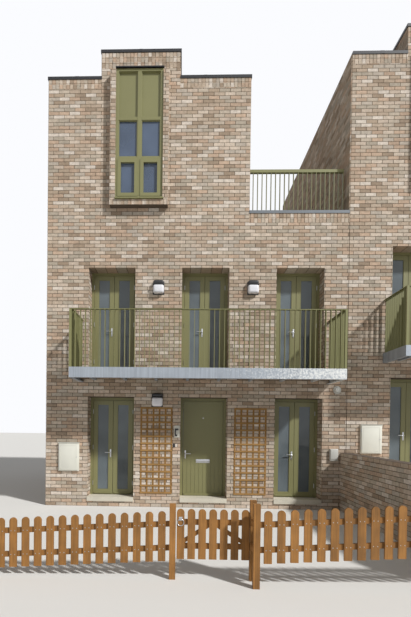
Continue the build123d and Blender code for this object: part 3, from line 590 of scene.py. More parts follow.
@dataclass(frozen=True)
class SatinSteel(Finish):
    """Stainless steel, brushed along its length: fine parallel scratches.

    The scratches are drawn 2 mm wide, coarser than they are, so that they show.
    """

    scratch_mm: Point = (40.0, 2.0, 2.0)

    def build(self) -> Material:
        """Makes the material."""
        material, tree, shader, place = self.start()
        drawn = add_node(tree, "ShaderNodeMapping", inputs={
            "Vector": place, "Scale": tuple(map(per_metre, self.scratch_mm))})
        brush = add_node(tree, "ShaderNodeTexNoise", inputs={
            "Vector": drawn, "Scale": 1.0, "Detail": 2.0})
        feed(tree, self.shades(tree, brush, 0.88, 1.08), shader.inputs["Base Color"])
        return material


@dataclass(frozen=True)
class CoatedGlass(Finish):
    """Toughened double glazing, rolled flat: dark, sharp reflections with a slow waviness."""

    clearness: float = 0.28
    wave_mm: float = 480.0

    def build(self) -> Material:
        """Makes the material."""
        material, tree, shader, place = self.start()
        wave_and_painted_reflection = add_node(tree, "ShaderNodeTexNoise", inputs={
            "Vector": place, "Scale": per_metre(self.wave_mm), "Detail": 1.0})
        # The waves give the relief, and they also make the colour lighter and darker as painted
        # reflection
        self.cover(tree, shader, self.shades(tree, wave_and_painted_reflection, 0.85, 1.2), wave_and_painted_reflection, 0.003, 0.5)
        shader.inputs["IOR"].default_value = 1.52
        shader.inputs["Alpha"].default_value = 1 - self.clearness
        return material


@dataclass(frozen=True)
class CastStone(Finish):
    """Concrete or cast stone, poured in a mould: fine pores, cloudy drying marks."""

    pore_mm: float = 9.0
    cloud_mm: float = 380.0

    def build(self) -> Material:
        """Makes the material."""
        material, tree, shader, place = self.start()
        cloud = add_node(tree, "ShaderNodeTexNoise", inputs={
            "Vector": place, "Scale": per_metre(self.cloud_mm), "Detail": 6.0, "Roughness": 0.6})
        pores = add_node(tree, "ShaderNodeTexNoise", inputs={
            "Vector": place, "Scale": per_metre(self.pore_mm), "Detail": 2.0})
        self.cover(tree, shader, self.shades(tree, cloud, 0.86, 1.1), pores, 0.0008)
        return material


@dataclass(frozen=True)
class MouldedPlastic(Finish):
    """Moulded plastic or glass-fibre: even colour, faint grain from the mould, slight fading.

    The grain is drawn coarser than it is, so that it shows.
    """

    glow: float = 0.0
    glow_depth: float = 0.05
    fade_mm: float = 240.0
    grain_mm: float = 5.0

    def build(self) -> Material:
        """Makes the material."""
        material, tree, shader, place = self.start()
        fade = add_node(tree, "ShaderNodeTexNoise", inputs={
            "Vector": place, "Scale": per_metre(self.fade_mm), "Detail": 2.0})
        grain = add_node(tree, "ShaderNodeTexNoise", inputs={
            "Vector": place, "Scale": per_metre(self.grain_mm), "Detail": 1.0})
        self.cover(tree, shader, self.shades(tree, fade, 0.95, 1.03), grain, 0.0003, 0.4)
        if self.glow:
            shader.inputs["Subsurface Weight"].default_value = self.glow
            shader.inputs["Subsurface Radius"].default_value = (self.glow_depth,) * 3
        return material


FINISHES = {finish.name: finish for finish in (
    StockBrick("wall_brick"),
    StockBrick("facing_along_front", run=Grain.ALONG_X, joints=False),
    StockBrick("facing_along_flank", run=Grain.ALONG_Y, joints=False),
    StockBrick("facing_on_edge", run=Grain.ALONG_X, joints=False, length=BRICK_COURSE,
               course=ON_EDGE, bond=0.0),
    CoatedSurface("olive_joinery", "#7f7d55", 0.42),
    CoatedSurface("olive_steel", "#7d7c52", 0.45, peel_mm=12),
    CoatedSurface("black_coping", "#19191c", 0.5, unevenness=0.2),
    CoatedSurface("mill_coping", "#6b6f73", 0.5, 0.4, unevenness=0.12),
    HotDipZinc("galvanised", "#9ea5ad", 0.5, 0.35),
    SatinSteel("satin_steel", "#c4c5c6", 0.3, 0.95),
    CoatedGlass("glazing", "#6f797e", 0.05),
    CoatedGlass("bay_glazing", "#5c6a80", 0.05),
    CastStone("floor_concrete", "#a8a49c", 0.85),
    CastStone("threshold_stone", "#c9c3b3", 0.8, pore_mm=14),
    CastStone("terrace_paving", "#a9a59b", 0.85, cloud_mm=240),
    MouldedPlastic("opal", "#e6e6ea", 0.25, glow=0.2),
    MouldedPlastic("black_plastic", "#28282a", 0.4),
    MouldedPlastic("cream_plastic", "#dad9cd", 0.5),
    MouldedPlastic("grey_plastic", "#c3c2bb", 0.5),
    StainedSoftwood("stained_pale", "#976933", 0.75, board=0.0715),
    # The uprights' stain is a darker copy of the crosspieces' stain, as painted shade on the back
    # layer
    StainedSoftwood("stained_upright_shaded", "#8f6a35", 0.75),
    StainedSoftwood("stained_crosspiece", "#9a7540", 0.75, grain=Grain.ALONG_X),
    StainedSoftwood("deck_board", "#8d7454", 0.8, grain=Grain.ALONG_X),
)}

NODE_FINISH = {
    Slot.BRICK: "wall_brick", Slot.CONCRETE: "floor_concrete", Slot.SILL_STONE: "threshold_stone",
    Slot.DARK_METAL: "black_coping", Slot.PALE_METAL: "mill_coping",
    Slot.PAINTED_WOOD: "olive_joinery", Slot.SATIN_STEEL: "satin_steel",
    Slot.WINDOW_GLASS: "glazing", Slot.GALVANISED_STEEL: "galvanised",
    Slot.DECKING: "deck_board", Slot.GREEN_STEEL: "olive_steel", Slot.OPAL_PLASTIC: "opal",
    Slot.CREAM_PLASTIC: "cream_plastic", Slot.GREY_PLASTIC: "grey_plastic",
    Slot.TIMBER: "stained_pale",
}


class Palette:
    """Builds each finish once and hands out its material."""

    def __init__(self) -> None:
        """Starts with nothing built."""
        self.built: dict[str, Material] = {}

    def get(self, name: str) -> Material:
        """Material of one finish."""
        if name not in self.built:
            self.built[name] = FINISHES[name].build()
        return self.built[name]


class Bench:
    """Modelling steps made of Blender's own operators."""

    @staticmethod
    def choose(*pieces: Piece) -> None:
        """Selects these pieces alone, the last one active."""
        bpy.ops.object.select_all(action="DESELECT")
        for piece in pieces:
            piece.select_set(True)
        bpy.context.view_layer.objects.active = pieces[-1]

    @classmethod
    def settle(cls, piece: Piece) -> Piece:
        """Puts a piece's place, turn and size into its mesh."""
        cls.choose(piece)
        bpy.ops.object.transform_apply(location=True, rotation=True, scale=True)
        return piece

    @classmethod
    def block(cls, low: Point, high: Point, soften: float = 0.0, segments: int = 2) -> Piece:
        """Models a block with softened edges.

        Args:
            low: Lowest corner.
            high: Highest corner.
            soften: Width of the rounding along all edges.
            segments: Steps across the rounding.

        Returns:
            The new piece.
        """
        bpy.ops.object.select_all(action="DESELECT")
        bpy.ops.mesh.primitive_cube_add(
            size=1, location=[(a + b) / 2 for a, b in zip(low, high)],
            scale=[b - a for a, b in zip(low, high)])
        piece = cls.settle(bpy.context.object)
        if soften:
            bpy.ops.object.mode_set(mode="EDIT")
            bpy.ops.mesh.select_all(action="SELECT")
            bpy.ops.mesh.bevel(offset=soften, segments=segments, affect="EDGES")
            bpy.ops.object.mode_set(mode="OBJECT")
        return piece

    @staticmethod
    def pick(piece: Piece, direction: Vector, both_ways: bool = False) -> None:
        """Edits a piece with only the faces selected that look in one direction.

        Args:
            piece: The piece to edit, which is the active one.
            direction: Where the faces look, as a vector of length one.
            both_ways: Whether the faces that look the other way are selected too.
        """
        bpy.ops.object.mode_set(mode="EDIT")
        bpy.ops.mesh.select_all(action="DESELECT")
        mesh = bmesh.from_edit_mesh(piece.data)
        for face in mesh.faces:
            turn = face.normal.dot(direction)
            face.select = (abs(turn) if both_ways else turn) > 0.9
        bmesh.update_edit_mesh(piece.data)

    @classmethod
    def rod(cls, start: Point, end: Point, radius: float, sides: int,
            soften: float = 0.0) -> Piece:
        """Models a round bar with softened ends.

        Args:
            start: Middle of one end.
            end: Middle of the other end.
            radius: Half its thickness.
            sides: Faces around it.
            soften: Width of the rounding at its ends.

        Returns:
            The new piece.
        """
        axis = Vector(end) - Vector(start)
        bpy.ops.object.select_all(action="DESELECT")
        bpy.ops.mesh.primitive_cylinder_add(
            vertices=sides, radius=radius, depth=axis.length,
            location=(Vector(start) + Vector(end)) / 2,
            rotation=axis.to_track_quat("Z", "Y").to_euler())
        piece = cls.settle(bpy.context.object)
        if soften:
            cls.pick(piece, axis.normalized(), both_ways=True)
            bpy.ops.mesh.bevel(offset=soften, segments=2, affect="EDGES")
            bpy.ops.object.mode_set(mode="OBJECT")
        return piece

    @classmethod
    def stud(cls, at: Point, out: float, radius: float, sides: int = 16,
             soften: float = 0.002) -> Piece:
        """Models a round bar that stands out towards the street."""
        return cls.rod(at, (at[0], at[1] - out, at[2]), radius, sides, soften)

    @classmethod
    def ring(cls, across: Span, up: Span, bar: float, depth: Span, soften: float) -> Piece:
        """Models a rectangular ring that faces the street, such as a bead around a pane.

        Args:
            across: Left and right edge.
            up: Lower and upper edge.
            bar: Width of the ring.
            depth: Front and back face.
            soften: Width of the rounding on its front.

        Returns:
            The new piece.
        """
        thickness = depth[1] - depth[0]
        bpy.ops.object.select_all(action="DESELECT")
        bpy.ops.mesh.primitive_plane_add(
            size=1, location=(sum(across) / 2, depth[0], sum(up) / 2),
            rotation=(math.pi / 2, 0, 0))
        piece = bpy.context.object
        piece.scale = (across[1] - across[0], up[1] - up[0], 1)
        cls.settle(piece)
        bpy.ops.object.mode_set(mode="EDIT")
        bpy.ops.mesh.select_all(action="SELECT")
        bpy.ops.mesh.inset(thickness=bar, depth=0)
        bpy.ops.mesh.delete(type="FACE")
        bpy.ops.mesh.select_all(action="SELECT")
        bpy.ops.mesh.extrude_region_move(TRANSFORM_OT_translate={"value": (0, thickness, 0)})
        bpy.ops.mesh.select_all(action="SELECT")
        bpy.ops.mesh.normals_make_consistent(inside=False)
        cls.pick(piece, Vector((0, -math.copysign(1, thickness), 0)))
        bpy.ops.mesh.bevel(offset=soften, segments=1, affect="EDGES")
        bpy.ops.object.mode_set(mode="OBJECT")
        return piece

    @classmethod
    def join(cls, pieces: list[Piece]) -> Piece:
        """Joins pieces into one mesh."""
        cls.choose(*pieces)
        if len(pieces) > 1:
            bpy.ops.object.join()
        return cls.settle(bpy.context.view_layer.objects.active)

    @classmethod
    def copies(cls, pattern: Piece, places: list[Point]) -> Piece:
        """Copies one modelled piece to many places and joins the copies.

        Args:
            pattern: The piece, modelled around the origin.
            places: Where each copy goes.

        Returns:
            One piece that holds all the copies.
        """
        twins = []
        for place in places:
            twin = pattern.copy()
            twin.data = pattern.data.copy()
            twin.location = place
            bpy.context.scene.collection.objects.link(twin)
            twins.append(twin)
        bpy.data.objects.remove(pattern)
        return cls.join(twins)

    @classmethod
    def repeat(cls, piece: Piece, step: Point, count: int) -> Piece:
        """Repeats a piece along one direction."""
        cls.choose(piece)
        array = piece.modifiers.new("repeat", "ARRAY")
        array.use_relative_offset = False
        array.use_constant_offset = True
        array.constant_offset_displace = step
        array.count = count
        bpy.ops.object.modifier_apply(modifier=array.name)
        return piece

    @classmethod
    def trim(cls, piece: Piece, point: Point, beyond: Point) -> Piece:
        """Cuts off what lies beyond a plane and closes the cut.

        Args:
            piece: The piece to cut.
            point: A point on the plane.
            beyond: Direction of the side that goes.

        Returns:
            The same piece.
        """
        cls.choose(piece)
        bpy.ops.object.mode_set(mode="EDIT")
        bpy.ops.mesh.select_all(action="SELECT")
        bpy.ops.mesh.bisect(plane_co=point, plane_no=beyond, use_fill=True, clear_outer=True,
                            clear_inner=False, threshold=0.00001)
        bpy.ops.object.mode_set(mode="OBJECT")
        return piece


@dataclass
class Dresser:
    """Finishes a piece: its name, material and the body that it rides on."""

    palette: Palette

    def finish(self, parts: Piece | list[Piece], name: str, finish: str, slot: Slot,
               body: str = Body.ROW.value, stands_for: tuple[str, ...] = (),
               smooth: float = 0.0) -> None:
        """Names a piece, gives it its material, hangs it on its body and hides the solids that it
        replaces.

        Args:
            parts: The modelled piece, or the parts to join into it.
            name: Its name.
            finish: Name of its finish.
            slot: Its material slot in the record; not used.
            body: The body that it rides on.
            stands_for: Nodes of the solids that it replaces.
            smooth: Angle in degrees below which its faces shade smoothly.
        """
        piece = Bench.join(parts) if isinstance(parts, list) else parts
        piece.name = name
        piece.data.name = name
        piece.data.materials.clear()
        piece.data.materials.append(self.palette.get(finish))
        if smooth:
            Bench.choose(piece)
            bpy.ops.object.shade_smooth_by_angle(angle=math.radians(smooth))
        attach(piece, body)
        if stands_for:
            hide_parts(*stands_for)
        log.info("%s: %d faces", name, len(piece.data.polygons))


def patches(areas: list[Patch], holes: list[Patch]) -> list[Patch]:
    """Divides a wall into rectangles that leave its holes open.

    Args:
        areas: Rectangles that make up the wall, as left, right, foot and top.
        holes: Rectangles that stay open.

    Returns:
        Rectangles that cover the wall once, row by row.
    """
    edges = sorted({e for r in areas + holes for e in r[:2]})
    levels = sorted({e for r in areas + holes for e in r[2:]})
    found: list[Patch] = []
    for low, high in zip(levels, levels[1:]):
        start = None
        middle_height = (low + high) / 2
        for left, right in zip(edges, edges[1:]):
            middle = (left + right) / 2
            inside = [r for r in areas + holes
                      if r[0] < middle < r[1] and r[2] < middle_height < r[3]]
            walled = bool(inside) and not any(r in holes for r in inside)
            if walled and start is None:
                start = left
            if not walled and start is not None:
                found.append((start, left, low, high))
                start = None
        if start is not None:
            found.append((start, edges[-1], low, high))
    return found


@dataclass(frozen=True)
class WallFace:
    """One flat face of brickwork."""

    run: Grain
    at: float
    outward: int

    def point(self, along: float, out: float, height: float) -> Point:
        """Place on the face, or off it by a distance outwards."""
        depth = self.at + self.outward * out
        return (along, depth, height) if self.run is Grain.ALONG_X else (depth, along, height)

    def step(self, along: float, out: float = 0.0) -> Vector:
        """Way along the face and outwards."""
        return Vector(self.point(along, out, 0)) - Vector(self.point(0, 0, 0))


@dataclass
class Brickwork:
    """Lays real bricks on the faces of the walls, proud of their mortar."""

    dresser: Dresser
    proud: float = 0.008
    bed: float = 0.003
    arris: float = 0.0015
    core_arris: float = 0.002
    # Top of the wall that closes the right terrace, and height of the garden wall's coping
    guard_wall: float = 6.995
    garden_coping: float = 0.065

    def brick(self, face: WallFace, along: Span, up: Span) -> Piece:
        """Models one brick whose outer face is a little smaller than its bed.

        Args:
            face: The wall face.
            along: Its two ends along the face.
            up: Its lower and upper edge.

        Returns:
            The brick.
        """
        ends = [face.point(along[0], -self.bed, up[0]), face.point(along[1], self.proud, up[1])]
        piece = Bench.block(tuple(map(min, *ends)), tuple(map(max, *ends)))
        Bench.pick(piece, face.step(0, 1))
        share, rise = (1 - 2 * self.arris / (end - start) for start, end in (along, up))
        bpy.ops.transform.resize(
            value=(share, 1, rise) if face.run is Grain.ALONG_X else (1, share, rise),
            center_override=face.point(sum(along) / 2, self.proud, sum(up) / 2))
        bpy.ops.object.mode_set(mode="OBJECT")
        return piece

    def lay(self, face: WallFace, areas: list[Patch], length: float = BRICK_LENGTH,
            course: float = BRICK_COURSE, bond: float = 0.5, start: float = BOND_START,
            base: float = 0.0) -> Piece:
        """Lays bricks over rectangles of a face.

        Args:
            face: The wall face.
            areas: Rectangles to cover.
            length: Brick length with its joint.
            course: Brick height with its joint.
            bond: Shift of every second course, as a share of the length.
            start: Place of a joint along the face.
            base: Height of a bed joint.

        Returns:
            The bricks as one piece.
        """
        half = BRICK_JOINT / 2
        rise = 2 * course if bond else course
        fields = []
        for left, right, low, high in areas:
            first = start + (math.floor((left - start) / length) - 1) * length
            foot = base + math.floor((low - base) / rise + 1e-6) * rise
            corners = [(first, foot)]
            if bond:
                corners.append((first + bond * length, foot + course))
            field = Bench.join([self.brick(face, (x + half, x + length - half),
                                           (z + half, z + course - half)) for x, z in corners])
            Bench.repeat(field, face.step(length), math.ceil((right - first) / length) + 1)
            Bench.repeat(field, (0, 0, rise), math.ceil((high - foot) / rise - 1e-6))
            for point, beyond in ((face.point(left, 0, 0), -face.step(1)),
                                  (face.point(right, 0, 0), face.step(1)),
                                  ((0, 0, low), (0, 0, -1)), ((0, 0, high), (0, 0, 1))):
                Bench.trim(field, point, beyond)
            fields.append(field)
        return Bench.join(fields)

    def show(self, piece: Piece, name: str, face: WallFace, finish: str) -> None:
        """Finishes the bricks, with a flat map of the whole wall face for one even texture.

        Args:
            piece: The bricks.
            name: Their name.
            face: The wall face that they stand on.
            finish: Name of their finish.
        """
        spots = [(v.co.x if face.run is Grain.ALONG_X else v.co.y, v.co.z)
                 for v in piece.data.vertices]
        left, low = map(min, zip(*spots))
        right, high = map(max, zip(*spots))
        size = max(right - left, high - low)
        layer = piece.data.uv_layers.new(name="OFBake")
        for loop in piece.data.loops:
            along, up = spots[loop.vertex_index]
            layer.data[loop.index].uv = ((along - left) / size, (up - low) / size)
        self.dresser.finish(piece, name, finish, Slot.BRICK)

    def stretchers(self, name: str, face: WallFace, areas: list[Patch]) -> None:
        """Lays a face in stretcher bond."""
        finish = "facing_along_front" if face.run is Grain.ALONG_X else "facing_along_flank"
        self.show(self.lay(face, areas), name, face, finish)

    def both_sides(self, name: str, edges: Span, areas: list[Patch]) -> None:
        """Lays the same rectangles on a left and a right face."""
        for side, at, outward in zip(("left", "right"), edges, (-1, 1)):
            self.stretchers(f"{name}_{side}_bricks", WallFace(Grain.ALONG_Y, at, outward), areas)

    def wall_areas(self, house: House) -> list[Patch]:
        """Brick rectangles of a whole front or back, stepped down to the terrace."""
        left, block, right = house.left, house.left + BLOCK_WIDTH, house.right
        second, parapet, terrace = house.up(SECOND_FLOOR, PARAPET, TERRACE_PARAPET)
        return [(left, right, 0.0, second), (left, block, second, parapet),
                (block, right, second, terrace)]

    def front_holes(self, house: House) -> list[Patch]:
        """Holes of one front."""
        holes = []
        for opening in OPENINGS:
            across = house.across(opening, opening + OPENING_WIDTH)
            holes.append((*across, *house.up(-THRESHOLD, GROUND_HEAD)))
            holes.append((*across, *house.up(FIRST_FLOOR, FIRST_HEAD)))
        holes.append((*house.across(*BAY_SURROUND), *house.up(SURROUND[0], SURROUND[2])))
        holes.append((*house.across(*BAY_WINDOW), *house.up(SURROUND[2], BAY_COURSES_FOOT)))
        return holes

    def on_edge_bands(self, house: House) -> list[Patch]:
        """Courses of brick on edge at the top of one front: three on the bay, two elsewhere."""
        bay_left, bay_right, block = house.across(*BAY, BLOCK_WIDTH)
        parapet = house.up(PARAPET - ON_EDGE_BAND, PARAPET)
        terrace = house.up(TERRACE_PARAPET - ON_EDGE_BAND, TERRACE_PARAPET)
        return [(house.left, bay_left, *parapet), (bay_right, block, *parapet),
                (bay_left, bay_right, *house.up(BAY_COURSES_FOOT, BAY_TOP)),
                (block, house.right, *terrace)]

    def build(self) -> None:
        """Lays every face of the row."""
        for house in HOUSES:
            self.lay_front(house)
            self.stretchers(f"{house.name}_back_bricks", WallFace(Grain.ALONG_X, BACK, 1),
                            patches(self.wall_areas(house), house.back_holes()))
            self.lay_terrace(house)
            self.lay_bay(house)
        self.lay_ends()
        self.surround_cores()

    def lay_front(self, house: House) -> None:
        """Lays one front in stretcher bond, with its bands of brick on edge."""
        face = WallFace(Grain.ALONG_X, FACADE, -1)
        areas = [*self.wall_areas(house), (*house.across(*BAY), *house.up(PARAPET, BAY_TOP))]
        bands = self.on_edge_bands(house)
        self.stretchers(f"{house.name}_front_bricks", face,
                        patches(areas, self.front_holes(house) + bands))
        on_edge = [self.lay(face, [band], BRICK_COURSE, ON_EDGE, 0.0, base=band[2])
                   for band in bands]
        self.show(Bench.join(on_edge), f"{house.name}_bricks_on_edge", face, "facing_on_edge")

    def lay_terrace(self, house: House) -> None:
        """Lays the wall between the top room and the roof terrace."""
        over_coping = house.up(TERRACE_PARAPET + COPING, PARAPET)
        door = (*TERRACE_DOOR, *house.up(SECOND_FLOOR, SECOND_HEAD))
        wall = [(FACADE, INNER, *over_coping),
                (INNER, BACK_INNER, *house.up(SECOND_FLOOR, PARAPET)),
                (BACK_INNER, BACK, *over_coping)]
        self.stretchers(f"{house.name}_terrace_bricks",
                        WallFace(Grain.ALONG_Y, house.left + BLOCK_WIDTH, 1),
                        patches(wall, [door]))

    def lay_bay(self, house: House) -> None:
        """Lays the sides and back of one raised bay, and the surround of its window."""
        bay = house.across(*BAY)
        roof, low, high = house.up(ROOF_TOP, PARAPET + COPING, BAY_TOP)
        self.both_sides(f"{house.name}_bay", bay,
                        [(FACADE, INNER, low, high), (INNER, BAY_BACK, roof, high)])
        self.stretchers(f"{house.name}_bay_back_bricks", WallFace(Grain.ALONG_X, BAY_BACK, 1),
                        [(*bay, roof, high)])
        face = WallFace(Grain.ALONG_X, SURROUND_FRONT, -1)
        left, window_left, window_right, right = self.surround_edges(house)
        foot, sill, head = house.up(*SURROUND)
        self.stretchers(f"{house.name}_surround_bricks", face,
                        [(left, window_left, sill, head), (window_right, right, sill, head)])
        row = self.lay(face, [(left, right, foot, sill)], BRICK_COURSE, sill - foot, 0.0,
                       left - BRICK_JOINT / 2, foot)
        self.show(row, f"{house.name}_surround_sill_bricks", face, "facing_on_edge")
        self.both_sides(f"{house.name}_surround", (left, right),
                        [(SURROUND_FRONT, FACADE, foot, head)])

    def surround_edges(self, house: House) -> tuple[float, ...]:
        """Left edges of surround and window, and their right edges."""
        return house.across(BAY_SURROUND[0], *BAY_WINDOW, BAY_SURROUND[1])

    def lay_ends(self) -> None:
        """Lays the end walls, the step between the houses and the garden wall."""
        self.stretchers("left_end_bricks", WallFace(Grain.ALONG_Y, -HOUSE_WIDTH, -1),
                        [(FACADE, BACK, 0.0, *LEFT_HOUSE.up(PARAPET))])
        step = WallFace(Grain.ALONG_Y, -MOVEMENT_JOINT, -1)
        second, low = LEFT_HOUSE.up(SECOND_FLOOR, TERRACE_PARAPET + COPING)
        terrace, guard, high = RIGHT_HOUSE.up(TERRACE_PARAPET, self.guard_wall, PARAPET)
        self.stretchers("step_bricks", step, [(INNER, BACK_INNER, second, high)])
        deep = Brickwork(self.dresser, bed=MOVEMENT_JOINT + self.bed)
        deep.stretchers("step_front_bricks", step,
                        [(FACADE, INNER, low, high), (BACK_INNER, BACK, low, high)])
        self.stretchers("right_end_bricks", WallFace(Grain.ALONG_Y, RIGHT_HOUSE.right, 1),
                        [(FACADE, BACK, 0.0, terrace), (INNER, BACK_INNER, terrace, guard)])
        near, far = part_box("garden_wall")
        self.both_sides("garden_wall", (near.x, far.x),
                        [(near.y, far.y, 0.0, far.z - self.garden_coping)])

    def surround_cores(self) -> None:
        """Makes the backing of the surrounds and the lintels that close the wall over them."""
        cores, lintels = [], []
        for house in HOUSES:
            left, window_left, window_right, right = self.surround_edges(house)
            foot, sill, head = house.up(*SURROUND)
            cores += [Bench.block((a, SURROUND_FRONT, low), (b, FACADE, high), self.core_arris, 1)
                      for a, b, low, high in ((left, right, foot, sill),
                                              (left, window_left, sill, head),
                                              (window_right, right, sill, head))]
            left, right = house.across(*BAY_OPENING)
            low, high = house.up(BAY_HEAD, BAY_HOLE[1])
            lintels.append(Bench.block((left, FACADE, low), (right, INNER, high),
                                       self.core_arris, 1))
        self.dresser.finish(cores, "surround_cores", "wall_brick", Slot.BRICK,
                            stands_for=("bay_surrounds",))
        self.dresser.finish(lintels, "bay_lintels", "wall_brick", Slot.BRICK)


@dataclass(frozen=True)
class DoorPair:
    """A pair of glazed leaves in one doorway."""

    name: str
    start: float
    foot: float
    height: float
    moving: bool

    def leaf_starts(self) -> Span:
        """Left edges of the two leaves."""
        first = self.start + JAMB + LEAF_GAP
        return first, first + FRENCH_LEAF + MEETING_GAP

    def pane_height(self) -> Span:
        """Lower and upper edge of its panes."""
        return self.foot + BOTTOM_RAIL, self.foot + self.height - STILE


def door_pairs() -> list[DoorPair]:
    """Every pair of glazed leaves in the front."""
    moving = {("left_house", 0): "left_pair", ("left_house", 2): "right_pair",
              ("right_house", 0): "next_house_pair"}
    pairs = []
    for house in HOUSES:
        ground, first = house.up(LEAF_FOOT, FIRST_FLOOR + LEAF_FOOT)
        for i, start in enumerate(house.across(*OPENINGS)):
            if i != 1:
                name = moving.get((house.name, i), f"{house.name}_pair_{i}")
                pairs.append(DoorPair(name, start, ground, GROUND_LEAF_HEIGHT,
                                      (house.name, i) in moving))
            pairs.append(DoorPair(f"{house.name}_upper_pair_{i}", start, first,
                                  FIRST_LEAF_HEIGHT, False))
    return pairs


@dataclass
class GlazedDoors:
    """Beads, weather bars and levers of the glazed leaves, and metalwork of the boarded doors."""

    dresser: Dresser
    bead: float = 0.005
    bead_faces: Span = (0.002, 0.015)
    bar_inset: float = 0.02
    bar_out: float = 0.018
    bar_levels: Span = (0.022, 0.05)
    lever_radius: float = 0.0085
    grip_out: float = 0.037
    grip_reach: float = 0.118
    keyhole_drop: float = 0.062
    letter_slot_level: float = 0.76
    viewer_level: float = 1.7

    def leaf_trim(self, start: float, pair: DoorPair) -> Piece:
        """Beads around both sides of one pane, and the weather bar on the bottom rail.

        Args:
            start: Left edge of the leaf.
            pair: The pair that it belongs to.

        Returns:
            The trim as one piece.
        """
        across = (start + STILE, start + FRENCH_LEAF - STILE)
        near, far = self.bead_faces
        beads = [Bench.ring(across, pair.pane_height(), self.bead, depth, 0.002)
                 for depth in ((FRAME_FRONT + near, FRAME_FRONT + far),
                               (FRAME_FRONT + LEAF - near, FRAME_FRONT + LEAF - far))]
        low, high = self.bar_levels
        bar = Bench.block(
            (start + self.bar_inset, FRAME_FRONT - self.bar_out, pair.foot + low),
            (start + FRENCH_LEAF - self.bar_inset, FRAME_FRONT, pair.foot + high), 0.006)
        return Bench.join([*beads, bar])

    def lever(self, towards: int) -> Piece:
        """Models a lever handle on its plate, around the origin and facing the street.

        Args:
            towards: 1 where the grip points right, -1 where it points left.

        Returns:
            The handle as one piece.
        """
        thick, out, drop = self.lever_radius, -self.grip_out, -self.keyhole_drop
        plate = Bench.block((-0.017, -0.008, -0.108), (0.017, 0.0, 0.072), 0.005, 3)
        neck = Bench.rod((0, -0.006, 0), (0, -0.04, 0), thick, 16)
        grip = Bench.rod((-thick * towards, out, 0), (self.grip_reach * towards, out, 0), thick,
                         16, 0.003)
        collar = Bench.stud((0, -0.007, 0), 0.006, 0.0135)
        keyhole = Bench.stud((0, -0.006, drop), 0.005, thick)
        return Bench.join([plate, neck, grip, collar, keyhole])

    def build(self) -> None:
        """Makes the trim and levers of every pair, and the metalwork of the boarded doors."""
        fixed_trim, fixed_levers = [], []
        for pair in door_pairs():
            starts = pair.leaf_starts()
            spot = (starts[0] + FRENCH_LEAF - STILE / 2, FRAME_FRONT, pair.foot + LEVER_LEVEL)
            lever = Bench.copies(self.lever(-1), [spot])
            trims = [self.leaf_trim(start, pair) for start in starts]
            if not pair.moving:
                fixed_trim += trims
                fixed_levers.append(lever)
                continue
            for side, trim in zip(("left", "right"), trims):
                self.dresser.finish(trim, f"{pair.name}_{side}_beads", "olive_joinery",
                                    Slot.PAINTED_WOOD, f"{pair.name}_{side}")
            self.dresser.finish(lever, f"{pair.name}_lever_handle", "satin_steel",
                                Slot.SATIN_STEEL, f"{pair.name}_left",
                                (f"{pair.name}_lever",), 40)
        self.dresser.finish(fixed_trim, "fixed_door_beads", "olive_joinery",
                            Slot.PAINTED_WOOD)
        self.dresser.finish(fixed_levers, "fixed_lever_handles", "satin_steel",
                            Slot.SATIN_STEEL, smooth=40)
        self.board_doors()

    def board_metalwork(self, house: House) -> Piece:
        """Makes the lever, letter slot, viewer and screws of one boarded door."""
        start = house.left + OPENINGS[1] + JAMB + BOARDED_GAP
        middle, front = start + BOARDED_LEAF / 2, FRAME_FRONT + FRAME_DEPTH - LEAF
        lever_z, slot_z, viewer_z = house.up(LEVER_LEVEL, self.letter_slot_level,
                                             self.viewer_level)
        lever = Bench.copies(self.lever(1), [(start + STILE / 2, front, lever_z)])
        slot = [Bench.block((middle - half, front - out, slot_z - rise),
                            (middle + half, front - back, slot_z + rise), 0.003)
                for half, rise, out, back in ((0.15, 0.04, 0.005, 0.0),
                                              (0.128, 0.024, 0.011, 0.004))]
        viewer = Bench.stud((middle, front, viewer_z), 0.008, 0.014, 20, 0.003)
        screws = [Bench.stud((middle + side, front, slot_z), 0.0065, 0.004, 10, 0.001)
                  for side in (-0.14, 0.14)]
        return Bench.join([lever, *slot, viewer, *screws])

    def board_doors(self) -> None:
        """Finishes the metalwork of the two boarded doors."""
        self.dresser.finish(self.board_metalwork(LEFT_HOUSE), "front_door_furniture",
                            "satin_steel", Slot.SATIN_STEEL, Body.FRONT_DOOR.value,
                            ("front_door_fittings",), 40)
        self.dresser.finish(self.board_metalwork(RIGHT_HOUSE), "next_front_door_furniture",
                            "satin_steel", Slot.SATIN_STEEL,
                            stands_for=("fixed_door_fittings",), smooth=40)


